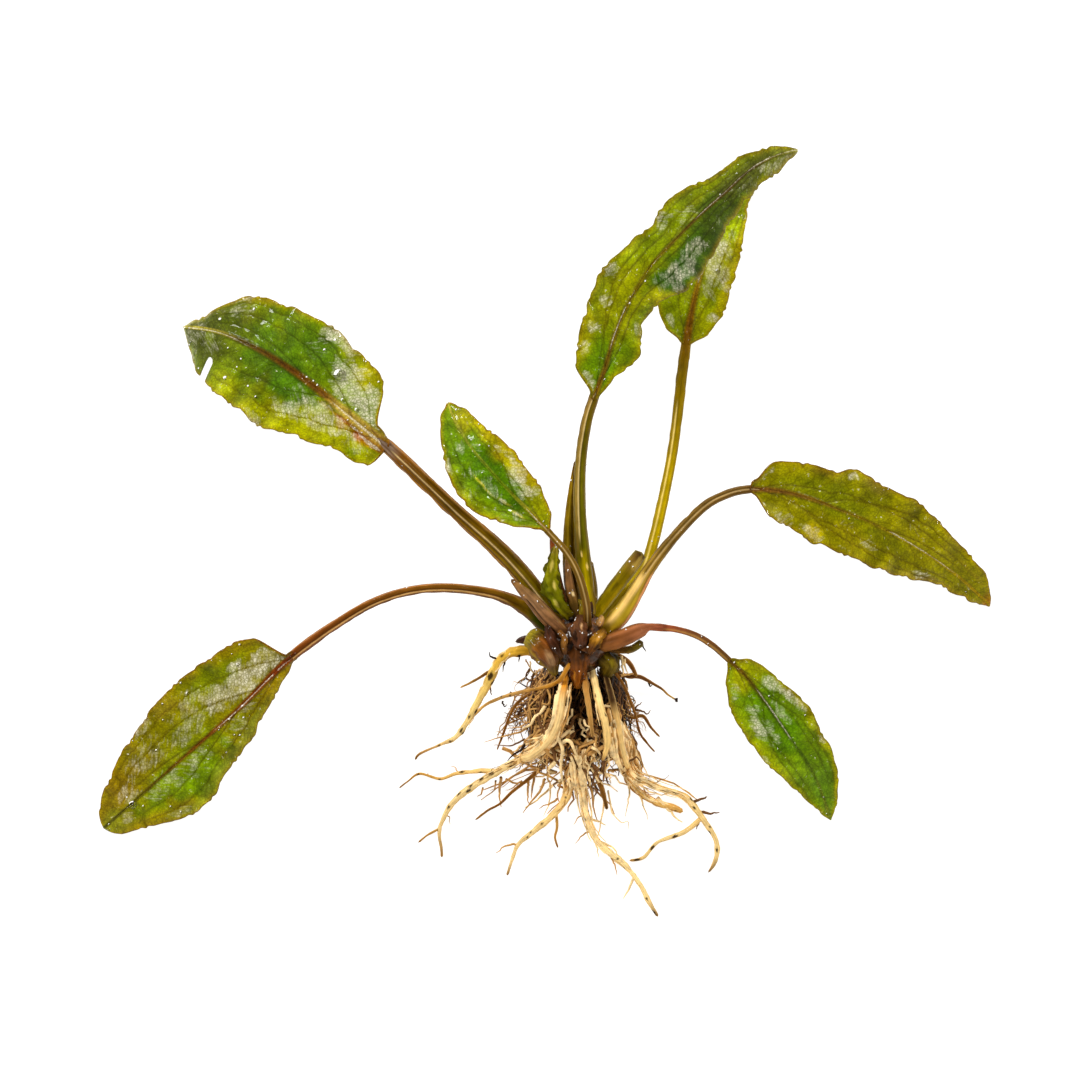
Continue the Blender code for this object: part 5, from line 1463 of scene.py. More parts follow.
roots["root_right_lower"] = {
    "rows": [
        (8.6, -12.2, 3, 0.6), (11.3, -16.4, 1.8, 0.7), (13.6, -18.9, 1.3, 0.7), (16.6, -20.5, 1.1, 0.7),
        (19.4, -21.3, 1, 0.65), (21.6, -22.3, 0.9, 0.5),
    ],
    "colours": [(0, "E0C48C"), (0.5, "D8B878"), (1, "C8A060")],
    "spots": [(14.2, -19.4, 0.3), (19.8, -22, 0.3)],
}
roots["root_right_curled"] = {
    "rows": [
        (25.2, -23.5, 1.2, 0.5), (23, -25.5, 1, 0.55), (21, -26.7, 0.9, 0.5), (18.6, -27.5, 0.8, 0.45),
        (16.6, -28.3, 0.7, 0.35), (15.2, -29.7, 0.6, 0.35), (13.6, -31.5, 0.6, 0.35),
        (10.8, -32.1, 0.6, 0.25),
    ],
    "colours": [(0, "DEC28A"), (0.4, "E6D4AC"), (0.8, "DEC898"), (1, "8A6430")],
    "spots": [(19.8, -27, 0.45), (15.4, -29.6, 0.45), (12.6, -32, 0.45)],
}
roots["root_right_brown"] = {
    "rows": [
        (6.6, 6.4, 8.6, 0.55), (10, 5.1, 7, 0.5), (12.9, 4.8, 5.4, 0.45), (15.3, 3.5, 3.6, 0.35),
        (17.3, 2.3, 2.2, 0.25), (18.6, 1.1, 1.2, 0.2), (20.2, 0, 0.5, 0.2),
    ],
    "brown": True,
    "colours": [
        (0, "5A3A18"), (0.5, "5E3A18"), (0.75, "7A5424"), (0.85, "B89048"), (0.95, "D0B060"), (1, "2A1A0A"),
    ],
}
roots["root_right_stub"] = {
    "rows": [(5.8, 10.3, 9.2, 0.5), (10.2, 8.1, 8.6, 0.55), (12.2, 4.9, 7.2, 0.35)],
    "brown": True,
}
roots["root_right_fine"] = {
    "rows": [
        (7.2, 6.6, 9.6, 0.35), (9.4, 3.6, 8.6, 0.35), (10.8, 0.4, 6.6, 0.35), (12, -2.9, 4.6, 0.3),
        (12.9, -6.4, 2.6, 0.3), (14.5, -8.7, 1.4, 0.25), (16, -10.4, 0.5, 0.2),
    ],
    "brown": True,
}
roots["root_right_twig"] = {
    "rows": [
        (8.6, -1, 4.4, 0.4), (11.1, -3.4, 2.9, 0.4), (13.5, -3.1, 2, 0.4), (15.2, -5.5, 1.1, 0.3),
        (17, -7.4, 0.5, 0.2),
    ],
    "brown": True,
}

rootForm = {"skin": rootSkin, "lumps": 0.2, "lumpSize": 1.5, "ribs": (7, 0.07), "ribShade": 0.2}
rootKinds = {
    # the side tones are painted rim shading on the flanks, lighter on the brown roots
    "root_pale": {"colours": paleRoot, "side": "CDB080"},
    "root_brown": {"colours": brownRoot, "side": "C09658"},
}
bundles = ("root_left_main", "root_right_main", "root_centre")
for number, (name, look) in enumerate(roots.items()):
    # a thick root is a bundle: its companions fill the rest of its width
    slim = 0.4 if name in bundles else 0.1
    rows = [(x, y, z, radius * (1 - slim * ease(0.6, 1.1, radius))) for x, y, z, radius in look["rows"]]
    if "overMass" in look:
        route = smoothRoute(rows, 2)
        lifted = massTop(route[:, 0], route[:, 1], route[:, 3] + 0.2)
        route[:, 2] = np.maximum(route[:, 2], lifted)
        rows = [tuple(row) for row in route]
    kind = "root_brown" if "brown" in look else "root_pale"
    look = {**rootForm, **rootKinds[kind], **look}
    makeTube(name + "_skin", rows, look, [name], 600 + 3 * number)
print("roots made")

# The washed-out middle of the root mass is a dark hollow
hollow = {"place": (0.6, -3.2), "size": (3.6, 6.5), "depth": 5.5}


def hollowed(x, y):
    reach = ((x - hollow["place"][0]) / hollow["size"][0]) ** 2
    reach = reach + ((y - hollow["place"][1]) / hollow["size"][1]) ** 2
    return hollow["depth"] * np.exp(-reach)


def drape(x, y, clear):
    # the height of a strand that hangs over the root mass, and beside it falls to the table
    outward = massReach(x, y, 0)
    beside = mass["centre"][2] + clear - mass["fall"] * (outward - 1)
    return np.maximum(np.where(outward < 1, massTop(x, y, 0) + clear, beside), mass["lowest"])


def placeCore(ball):
    power = mass["squareness"]
    level = np.hypot(ball[:, 0], ball[:, 1]) + 1e-9
    corner = np.abs(ball[:, 0] / level) ** power + np.abs(ball[:, 1] / level) ** power
    corner = np.maximum(corner, 0.01) ** (-1 / power)
    points = np.column_stack([ball[:, 0] * corner, ball[:, 1] * corner, ball[:, 2]])
    points = points * mass["radii"] * mass["core"] + mass["centre"]
    strands = grain(points * mass["strandScale"], 1.2, 81)
    points += ball * (1.1 * grain(points, 3.5, 82) + 0.9 * strands)[:, None]
    x, y, z = points.T
    z[:] = (z - mass["centre"][2]) * massSlope(y) + mass["centre"][2]
    z -= np.where(ball[:, 2] > 0, hollowed(x, y), 0)
    z[:] = np.maximum(z, 0.0)
    short = mass["shortFrom"]
    y[:] = np.where(y < short, short + mass["shortening"] * (y - short), y)
    colour = np.tile(linear("120B06"), (len(points), 1))
    colour = blendIn(colour, "3E2812", ease(0.0, 0.5, strands))
    return points, blendIn(colour, "5A4020", 0.6 * ease(3, 8, np.abs(x)) * ease(0.1, 0.4, strands))


def makeFibres(name, strands, nodes=()):
    # each strand is (tone, radius, rows of x, y, z) and gets thinner towards its end
    curve = bpy.data.curves.new(name, "CURVE")
    curve.dimensions = "3D"
    curve.bevel_depth = mm
    curve.bevel_resolution = 1
    for tone in fibreTones:
        curve.materials.append(tone)
    for tone, radius, rows in strands:
        spline = curve.splines.new("POLY")
        spline.points.add(len(rows) - 1)
        spline.material_index = tone
        for share, row, point in zip(np.linspace(0, 1, len(rows)), rows, spline.points):
            point.co = (*(row * mm), 1)
            point.radius = radius * (1 - 0.75 * share**1.5)
    guide = bpy.data.objects.new(name + "_guide", curve)
    bpy.context.scene.collection.objects.link(guide)
    graph = bpy.context.evaluated_depsgraph_get()
    mesh = bpy.data.meshes.new_from_object(guide.evaluated_get(graph))
    bpy.data.objects.remove(guide)
    return addPiece(name, mesh, [], nodes)


def wander(rng, count, reach):
    # a sideways sway along a strand: slow bends with sharper kinks on them
    t = np.linspace(0, 1, count)
    sway = np.zeros(count)
    for kinks, share in ((3, 0.8), (7, 0.45), (13, 0.2)):
        places = sorted(rng.random() for kink in range(kinks))
        sways = [rng.gauss(0, share * reach) for kink in range(kinks)]
        sway += np.interp(t, [0, *places, 1], [0, *sways, sways[-1]])
    return sway


# Tufts of the root mass. Strands run from one place to another, each spread by so much, with a
# bow to the side, this far above the mass, in these tones (0 black to 3 cream)
tufts = [
    {"count": 95, "tones": (0, 1, 1, 1, 2, 2), "radius": (0.1, 0.32), "from": (-5.2, 5.6),
     "fromSpread": (1.8, 1.2), "to": (-6.4, -6), "toSpread": (3, 3), "bow": -1.8, "clear": (-2, 0.6),
     "sway": 0.8},
    {"count": 130, "tones": (0, 0, 0, 1), "radius": (0.1, 0.28), "from": (6.6, 6), "fromSpread": (1.8, 1),
     "to": (8.2, -2.5), "toSpread": (1.8, 1.6), "bow": 1.2, "clear": (-2, 0.9), "sway": 0.5},
    {"count": 100, "tones": (0, 0, 1), "radius": (0.1, 0.25), "from": (0, 4.5), "fromSpread": (8, 1),
     "to": (0, -9), "toSpread": (8, 2), "bow": 0, "clear": (-3.5, -1.5), "sway": 1.2},
    {"count": 50, "tones": (1, 1, 1, 1, 2, 3), "radius": (0.16, 0.4), "from": (-3.5, -4),
     "fromSpread": (4.5, 3), "to": (-6, -12.5), "toSpread": (6, 2.5), "bow": -0.5, "clear": (-1.5, 0.3),
     "sway": 1.0},
    {"count": 40, "tones": (0, 1, 1, 2, 2, 3), "radius": (0.16, 0.4), "from": (4, -4),
     "fromSpread": (4.5, 3), "to": (5, -13), "toSpread": (5.5, 2.5), "bow": 0.5, "clear": (-1.5, 0.3),
     "sway": 1.0},
    {"count": 24, "tones": (1, 2, 2, 2, 3, 3), "radius": (0.18, 0.46), "from": (0, -9), "fromSpread": (13, 3),
     "to": (-1, -18), "toSpread": (22, 5), "bow": 0, "clear": (-0.8, 0), "sway": 1.7},
    {"count": 34, "tones": (2, 2, 3, 3), "radius": (0.25, 0.5), "from": (7.8, -3.6), "fromSpread": (1.2, 1.2),
     "to": (12.2, -15.5), "toSpread": (1.6, 1.2), "bow": 1.2, "clear": (-0.4, 0.5), "sway": 0.5},
    {"count": 26, "tones": (2, 3, 3), "radius": (0.22, 0.45), "from": (-4, -5.5), "fromSpread": (1.4, 1.5),
     "to": (-10.5, -12), "toSpread": (2, 1.6), "bow": -0.6, "clear": (-0.6, 0.3), "sway": 0.4},
    {"count": 18, "tones": (2, 3, 3, 1), "radius": (0.2, 0.45), "from": (0.5, -9.5), "fromSpread": (2.6, 1.2),
     "to": (1.5, -18), "toSpread": (2.6, 1.5), "bow": 0, "clear": (-0.6, 0.4), "sway": 0.5},
    {"count": 18, "tones": (1, 2, 2), "radius": (0.12, 0.24), "from": (-8, 1), "fromSpread": (1.4, 4),
     "to": (-12.4, -5), "toSpread": (1.6, 5), "bow": -1.0, "clear": (-0.5, 0.5), "sway": 1.6},
    {"count": 26, "tones": (1, 2, 2, 0), "radius": (0.09, 0.2), "from": (8.6, 1), "fromSpread": (1, 3.5),
     "to": (11.6, -8), "toSpread": (1.2, 3.5), "bow": 0.8, "clear": (-0.5, 0.5), "sway": 1.2},
]


def tuftStrands(tuft, rng):
    strands = []
    points = 16
    t = np.linspace(0, 1, points)
    for number in range(tuft["count"]):
        start = [rng.gauss(middle, spread / 2) for middle, spread in zip(tuft["from"], tuft["fromSpread"])]
        end = [rng.gauss(middle, spread / 2) for middle, spread in zip(tuft["to"], tuft["toSpread"])]
        bow = tuft["bow"] * rng.uniform(0.4, 1.2) * np.sin(math.pi * t)
        x = start[0] + (end[0] - start[0]) * t + bow + wander(rng, points, tuft["sway"])
        y = start[1] + (end[1] - start[1]) * t + 0.5 * wander(rng, points, tuft["sway"])
        clear = rng.uniform(*tuft["clear"]) + 0.5 * wander(rng, points, tuft["sway"])
        z = drape(x, y, clear) - hollowed(x, y) * rng.uniform(0.5, 1)
        rows = np.column_stack([x, y, np.maximum(z, mass["lowest"])])
        strands.append((rng.choice(tuft["tones"]), rng.uniform(*tuft["radius"]), rows))
    return strands


# Single rootlets, read off the plant: (tone, radius, rows). A height of 0 means on the root mass.
rootlets = {}
rootlets["left"] = [
    (0, 0.24, [(-15.4, 8.4, 8.7), (-16.6, 9, 8.8), (-17, 10, 8.6)]),
    (0, 0.22, [(-14, 8.2, 8.6), (-14.4, 6.2, 8.4)]),
    (1, 0.25, [(-17, 4, 6.6), (-17, 2.4, 6), (-16.8, 1, 5.6)]),
    (0, 0.2, [(-11.2, 9.6, 9.8), (-11.2, 7.8, 9)]),
    (2, 0.16, [(-9.8, 8.4, 8.6), (-9, 6.6, 8), (-8, 5.6, 8)]),
    (3, 0.16, [(-9, 8, 8.6), (-8.6, 6.2, 8.2), (-7.6, 6, 8), (-7, 6.8, 8)]),
    (0, 0.22, [(-13, 1.8, 6), (-12.2, 1.2, 6)]),
    (0, 0.2, [(-14.4, 0, 4.4), (-14, -1.2, 4), (-13.2, -0.8, 4)]),
    (1, 0.2, [(-9, 6.6, 7.6), (-9.4, 4.8, 7.2), (-8.2, 4, 7.4)]),
    (1, 0.22, [(-8, 5.8, 7.6), (-8.6, 4.4, 7.2), (-7.2, 3.2, 8)]),
    (2, 0.1, [(-8.8, 6.4, 7.6), (-9.8, 4.8, 7), (-11.2, 3.6, 6.4), (-11.8, 2.4, 6), (-11.2, 1.4, 5.6)]),
    (2, 0.1, [(-10, 4.6, 7), (-11, 3.8, 6.8), (-12, 3.8, 6.4), (-12.2, 3, 6)]),
    (1, 0.2, [(-9.4, -2.4, 4.5), (-11, -2.8, 4), (-13.4, -2.4, 3), (-14, -2.2, 2.8)]),
    (2, 0.2, [(-9, -4, 5), (-11, -5.2, 3.6), (-12.4, -5.4, 2.6), (-14, -5.4, 1.8)]),
    (2, 0.24, [(-9, -4.8, 5), (-11, -6.2, 3.4), (-13.6, -7, 2.2), (-15.6, -7.6, 1.2), (-18.2, -8.4, 0.4)]),
    (1, 0.2, [(-10, -7.6, 4), (-12.4, -9, 2.6), (-14.4, -9, 1.6), (-16, -9, 0.9)]),
    (0, 0.3, [(-9.8, -8.4, 5), (-11, -9.8, 4), (-12.6, -11, 2.8), (-13.6, -11.8, 2)]),
    (1, 0.16, [(-12.8, -3.4, 2.8), (-12, -4.2, 2.6), (-11.6, -5.4, 2.6)]),
    (2, 0.12, [(-13.2, -4.4, 2.2), (-12.2, -3.2, 2.4), (-12.6, -2.2, 2.6)]),
    (2, 0.12, [(-14.2, -6.8, 1.4), (-15, -6.4, 1.2), (-15.6, -6.6, 0.9)]),
]
rootlets["lowerLeft"] = [
    (2, 0.32, [(-14.8, -15.2, 3.2), (-15, -17.4, 1.8), (-15, -19.4, 0.9), (-14.6, -21.4, 0.4)]),
    (2, 0.22, [(-15.8, -16, 2.6), (-16, -17, 1.8), (-16.2, -18.4, 0.8)]),
    (2, 0.24, [(-13.8, -15.6, 2.6), (-12, -16.4, 1.8), (-10.4, -16.2, 1.8), (-9, -16.4, 1.6)]),
    (2, 0.28, [(-9.4, -15.6, 2), (-9.5, -18, 1.2), (-9.4, -20, 0.7), (-8.8, -20.8, 0.4)]),
    (2, 0.26, [(-8.2, -15.4, 2), (-8.4, -17.4, 1.4), (-8.8, -19.6, 0.5)]),
    (2, 0.3, [(-6, -15.6, 3), (-7, -18.4, 1.6), (-8.8, -20.6, 0.9), (-10.4, -22.6, 0.4)]),
    (2, 0.26, [(-11.4, -28.6, 1), (-12.6, -29, 0.8), (-14, -29.4, 0.6), (-16, -30.8, 0.3)]),
    (2, 0.24, [(-3.6, -19.6, 2), (-4.8, -20.4, 1.4), (-7, -21.6, 0.5)]),
    (2, 0.2, [(-18.4, -17.4, 2), (-18.8, -18.4, 1.2), (-19.4, -19.6, 0.4)]),
    (2, 0.16, [(-10.6, -16, 2), (-13, -17.6, 1), (-14.2, -17.8, 0.5)]),
    (3, 0.22, [(-5.4, -15, 3), (-5, -18, 1.8), (-5.4, -21, 1), (-6.4, -23.4, 0.5)]),
    (2, 0.18, [(-2.6, -16, 4), (-3.4, -18.6, 2.4), (-3.2, -21, 1.2), (-3.6, -23.4, 0.5)]),
    (2, 0.16, [(-23.4, -14.6, 1.3), (-23.8, -13.6, 0.8), (-24.6, -13.2, 0.5)]),
    (2, 0.14, [(-29, -15.2, 0.8), (-29.6, -14.4, 0.5)]),
    (2, 0.14, [(-26, -23, 1.1), (-25.2, -23.8, 0.7), (-25, -24.8, 0.4)]),
]
rootlets["centre"] = [
    (3, 0.34, [(1.8, -22.4, 2.4), (3.4, -23.8, 1.6), (5, -24.4, 1), (6.6, -24.8, 0.5)]),
    (3, 0.3, [(4.2, -28, 1.8), (6.4, -28.6, 1), (7.8, -29.4, 0.7), (8.6, -31.4, 0.4)]),
    (2, 0.2, [(7.2, -31.4, 1.2), (8, -33.2, 0.7), (8.8, -35, 0.3)]),
    (3, 0.3, [(11.8, -35.4, 1), (11, -37.4, 0.7), (9.8, -39.8, 0.3)]),
    (3, 0.2, [(3.8, -27.6, 1.6), (4.2, -29.6, 0.8), (4.4, -31.6, 0.3)]),
    (2, 0.2, [(3.2, -26, 1.8), (1.6, -27, 1), (0.2, -28.6, 0.3)]),
    (2, 0.2, [(2.2, -22.4, 2.4), (1, -23.4, 1.2), (-0.2, -25, 0.4)]),
    (0, 0.26, [(-1, -16.6, 4), (-0.6, -18, 2.6), (-0.4, -19.2, 2.2)]),
    (1, 0.3, [(2.2, -14, 5), (3.2, -15.8, 3.6), (4.4, -17.6, 1.8), (4, -18.8, 1), (3, -19.8, 0.5)]),
    (1, 0.26, [(5, -13.4, 5), (6, -15.4, 3.4), (7.4, -17.4, 1.4)]),
    (0, 0.24, [(3.6, -16.2, 3), (4.2, -17.6, 2), (5.4, -18.4, 1)]),
    (3, 0.2, [(6.6, -18, 1.4), (7.2, -20.4, 0.8), (7.8, -22.4, 0.6), (9.4, -24.6, 0.5),
            (10.6, -24.4, 0.5), (10.8, -26, 0.4)]),
    (3, 0.2, [(5.8, -19, 1.4), (5.6, -22.4, 0.8), (4.6, -26, 0.6), (4.2, -29, 0.4)]),
    (2, 0.3, [(2.4, -15, 5), (3.2, -18.6, 3), (3.8, -22, 1.6), (4.6, -24.6, 0.8)]),
    (3, 0.4, [(-2.2, -12, 6), (-2, -16, 4), (-2.4, -19, 2.6), (-3.4, -21.4, 1.8)]),
    (3, 0.5, [(1.8, -12.4, 6.5), (2, -16, 4.6), (2.2, -19.6, 3), (2.6, -22.8, 2.2)]),
]
rootlets["right"] = [
    (1, 0.34, [(23.2, -20.2, 1.8), (25.2, -19.6, 1.4), (26.4, -19.4, 0.9)]),
    (1, 0.36, [(24.4, -22.6, 1.4), (26.8, -22.5, 1), (28.8, -22.4, 0.4)]),
    (1, 0.24, [(24.8, -23.6, 1.2), (24.6, -24.6, 0.8), (24.2, -26, 0.4)]),
    (3, 0.4, [(16.4, -19.4, 1.6), (18.4, -21.6, 1.2), (19.8, -23.2, 0.8), (21.4, -24.4, 0.5)]),
    (3, 0.22, [(12.8, -18, 1.6), (13.4, -20.4, 1), (14.2, -22.6, 0.6), (14.6, -24, 0.4)]),
    (3, 0.22, [(10.6, -16, 3), (10.8, -19, 1.4), (10.4, -21.4, 0.8), (10, -23.4, 0.4)]),
    (1, 0.14, [(15.8, -16.8, 3), (17, -16, 2), (18, -15.6, 1.2), (18.6, -14.8, 0.8)]),
    (1, 0.2, [(10.8, -12, 4), (12.2, -11.2, 3), (12.8, -12, 2.4), (13.4, -13.2, 2)]),
    (1, 0.22, [(11.6, -2.4, 2.8), (12.4, -1.4, 2.2), (13.4, -0.2, 1.4)]),
    (1, 0.24, [(12, -1.8, 2.8), (13, -2, 2.4), (14, -2.6, 1.8), (14.6, -2.6, 1.4), (15.2, -1.8, 1)]),
    (0, 0.2, [(14.6, 3.6, 4), (15.2, 3, 3.4), (15.8, 3, 3)]),
    (0, 0.2, [(13, 11.4, 11.6), (13.4, 10.8, 11.2), (13.8, 9.8, 10.8)]),
    (0, 0.3, [(8.6, 10.8, 10.4), (9.6, 10.6, 10.2), (10.4, 10.8, 10)]),
    (3, 0.3, [(9, 9.2, 10), (9.2, 7.4, 9.4), (9.4, 5.6, 8.8), (9, 4.8, 8.4)]),
    (3, 0.25, [(9.6, 8.6, 9.8), (10, 6.8, 9.2), (10.6, 5.6, 8.6)]),
    (2, 0.3, [(8.8, 5.2, 9), (10.4, 5.4, 8.2), (11.8, 5.6, 7.6)]),
    (1, 0.2, [(11.4, -7, 2.6), (12.2, -8.6, 1.8), (12, -10, 1.2)]),
    (2, 0.16, [(13.4, -17, 2.6), (14.4, -18.6, 1.4), (15.8, -19, 0.9)]),
    (0, 0.35, [(20.2, 0.4, 0.7), (20.5, -0.6, 0.6)]),
]
rootlets["over"] = [
    (3, 0.27, [(-2.4, -3.4, 8), (-0.6, -2.6, 8), (0.6, -3.6, 7.4), (1.6, -5, 7.4), (1, -6, 7.6),
            (-2, -7.6, 9)]),
    (3, 0.27, [(1.6, -4.4, 7.6), (2.6, -7, 8.6), (3, -9, 9.6), (2, -10, 9.4)]),
    (2, 0.2, [(1.2, 2.8, 9), (0.2, 0.6, 8), (0, -1, 7.6), (0.6, -2.8, 7.2)]),
    (2, 0.2, [(-0.4, 7, 11), (0, 4, 10), (-0.6, 2.4, 9.6)]),
    (2, 0.14, [(0.8, 1, 8), (-0.6, -0.6, 7.6), (-1, -2, 8)]),
    (2, 0.28, [(-6, 3.4, 0), (-5, 1.2, 0), (-5.6, -0.4, 0), (-8, 0.4, 0), (-9.6, 1.2, 0)]),
    (3, 0.38, [(-6, -0.6, 0), (-7.6, -2.6, 0), (-9, -4.6, 0), (-11, -5.6, 4)]),
    (2, 0.32, [(-5.2, -1, 0), (-6, -3.2, 0), (-6.6, -5.2, 0)]),
    (3, 0.32, [(-4.8, -5, 0), (-7, -6.6, 0), (-9.6, -7.4, 0)]),
    (3, 0.4, [(-3.2, -6.6, 0), (-2.6, -9, 0), (-2.8, -12, 0), (-2.6, -16, 0), (-2.4, -18, 3)]),
    (3, 0.4, [(-2.6, -7.6, 0), (-1, -7.6, 0), (0, -10, 0), (0.8, -12.4, 0)]),
    (3, 0.32, [(3, -8.6, 0), (4.6, -9.6, 0), (5.4, -11.6, 0)]),
    (2, 0.28, [(3, -8.6, 0), (1.8, -10, 0), (1, -11.8, 0)]),
    (3, 0.32, [(4.4, -1.2, 0), (6, -0.6, 0), (7.6, -1.2, 0), (9.4, -2.8, 0)]),
    (0, 0.5, [(7, 5.8, 0), (7, 2, 0), (6.8, -1, 0)]),
    (3, 0.6, [(7.4, -3.2, 0), (8, -5.4, 0), (8.6, -7.4, 0), (8.4, -9.6, 0)]),
    (3, 0.5, [(6.2, -7, 0), (7.4, -10.4, 0), (9.2, -13.6, 0), (11.6, -16, 4)]),
    (1, 0.4, [(5, -10, 0), (5.6, -13, 0), (5.6, -16, 0)]),
    (1, 0.4, [(-4.6, -9, 0), (-3.8, -11.4, 0), (-2.6, -13, 0)]),
]

# Thinner roots that run along a main one and make it a bundle: (root, count, how far to its
# sides, their radii, the share of the root where they start, and where they end, tones)
companions = [
    ("root_left_main", 14, 1.4, (0.18, 0.45), (0.12, 0.3), (0.4, 0.62), (3, 3, 3, 2, 2)),
    ("root_left_main", 9, 1.5, (0.1, 0.25), (0.3, 0.5), (0.5, 0.75), (2, 3, 1)),
    ("root_right_main", 12, 1.7, (0.2, 0.5), (0.17, 0.3), (0.5, 0.66), (3, 3, 2, 2)),
    ("root_right_main", 12, 1.7, (0.12, 0.3), (0.3, 0.5), (0.55, 0.75), (2, 3, 3)),
    ("root_centre", 9, 1.2, (0.15, 0.4), (0, 0.1), (0.3, 0.55), (3, 3, 3)),
    ("root_centre", 4, 0.7, (0.12, 0.25), (0.4, 0.6), (0.7, 0.85), (3, 3)),
    ("root_lower_left", 5, 0.9, (0.2, 0.4), (0, 0.1), (0.35, 0.6), (3, 2)),
    ("root_left_yellow", 3, 0.7, (0.15, 0.3), (0.2, 0.3), (0.5, 0.7), (2, 3)),
    ("root_right_lower", 4, 0.9, (0.2, 0.4), (0, 0.2), (0.6, 0.9), (3, 2)),
    ("root_front", 4, 0.9, (0.15, 0.35), (0.05, 0.3), (0.6, 0.9), (3, 2, 1)),
    ("root_front_thin", 4, 0.9, (0.15, 0.3), (0.05, 0.3), (0.6, 0.9), (2, 1)),
]


def companionStrands(rng):
    strands = []
    for name, count, spread, radii, starts, ends, tones in companions:
        rows = [list(row) for row in roots[name]["rows"]]
        route = smoothRoute(rows, 0.5)
        for number in range(count):
            start, end = rng.uniform(*starts), rng.uniform(*ends)
            steps = max(8, round((end - start) * len(route)))
            t = np.linspace(start, end, steps)
            middle, left, top = tubeFrame(route, t)
            side = rng.uniform(-spread, spread) + wander(rng, steps, 0.3)
            strand = middle[:, :3] + left * side[:, None]
            radius = rng.uniform(*radii)
            over = massTop(strand[:, 0], strand[:, 1], radius + rng.uniform(-0.2, 0.5))
            beside = middle[:, 2] + np.sqrt(np.maximum(middle[:, 3] ** 2 - side**2, 0)) * 0.7
            beside = np.where(middle[:, 2] > 0.5, beside, 0)
            strand[:, 2] = np.maximum(np.maximum(over, beside), radius)
            strands.append((rng.choice(tones), radius, strand))
    return strands


rng = random.Random(7)
makeBall("mass_core", (128, 80), 60, placeCore, "root_mass")
makeFibres("root_companions", companionStrands(rng))
for number, tuft in enumerate(tufts):
    makeFibres(f"mass_tuft_{number + 1}", tuftStrands(tuft, rng))
for group, strands in rootlets.items():
    smoothed = []
    for tone, radius, rows in strands:
        route = smoothRoute(rows, 0.35)
        route[:, 0] += wander(rng, len(route), 0.16)
        route[:, 1] += wander(rng, len(route), 0.16)
        if group == "over" and 0 in [row[2] for row in rows]:
            lifted = massTop(route[:, 0], route[:, 1], radius)
            route[:, 2] = np.maximum(np.maximum(route[:, 2], lifted), 0.4)
        smoothed.append((tone, radius, route))
    makeFibres("rootlets_" + group, smoothed)
print("root fibres made")

# Beads of water: the larger ones are (x, y, radius) as seen on the table, and the rest are strewn
beads = {
    "places": [
        (-88.4, -21, 0.9), (-78.8, 3.4, 0.25), (-77.6, 1.4, 0.25), (-72.6, 7.8, 0.2), (-67, 11, 0.3),
        (-67.4, 7, 0.4), (-68.6, 9.2, 0.2), (-66.2, -3.6, 0.3), (-69.2, -3.8, 0.2), (-82.4, -4, 0.2),
        (-67, -7, 0.25), (-78.8, -22.4, 0.25), (-47, 65, 1.3), (-46.4, 60, 0.5), (-43.6, 58, 0.5),
        (-50, 70, 0.35), (-51.4, 63, 0.3), (-63.8, 60.6, 0.35), (-48, 72, 0.3), (-71, 76.2, 0.3),
        (-64.2, 78.2, 0.25), (-66.8, 68.2, 0.2), (-67.6, 66.6, 0.2), (-70, 64.4, 0.45),
        (-65.4, 62.8, 0.25), (-69.4, 70.4, 0.2), (-53.6, 64.6, 0.25), (-52.2, 63.8, 0.25),
        (-39.2, 63.6, 0.25), (-45.4, 56, 0.2), (-44, 54.4, 0.2), (-42.6, 53.4, 0.2), (28.6, 85.8, 0.5),
        (0, 16, 0.3), (1.6, 13.4, 0.25), (-1.6, 13, 0.2), (-0.6, 14.8, 0.2), (2.6, 15.4, 0.2),
    ],
    "strewn": {"blade_": 40, "petiole_": 3, "crown_": 4},
    "nearMargin": 1.4,
    "inland": 0.2,
    "radius": (0.1, 0.26),
    "stretch": (0.85, 1.3),
    "height": 0.55,
    "sunk": 0.1,
    "glint": (-0.5, 0.45, 0.74),
    "glintFrom": {"small": 0.75, "large": 0.88},
    "largeFrom": 0.35,
}


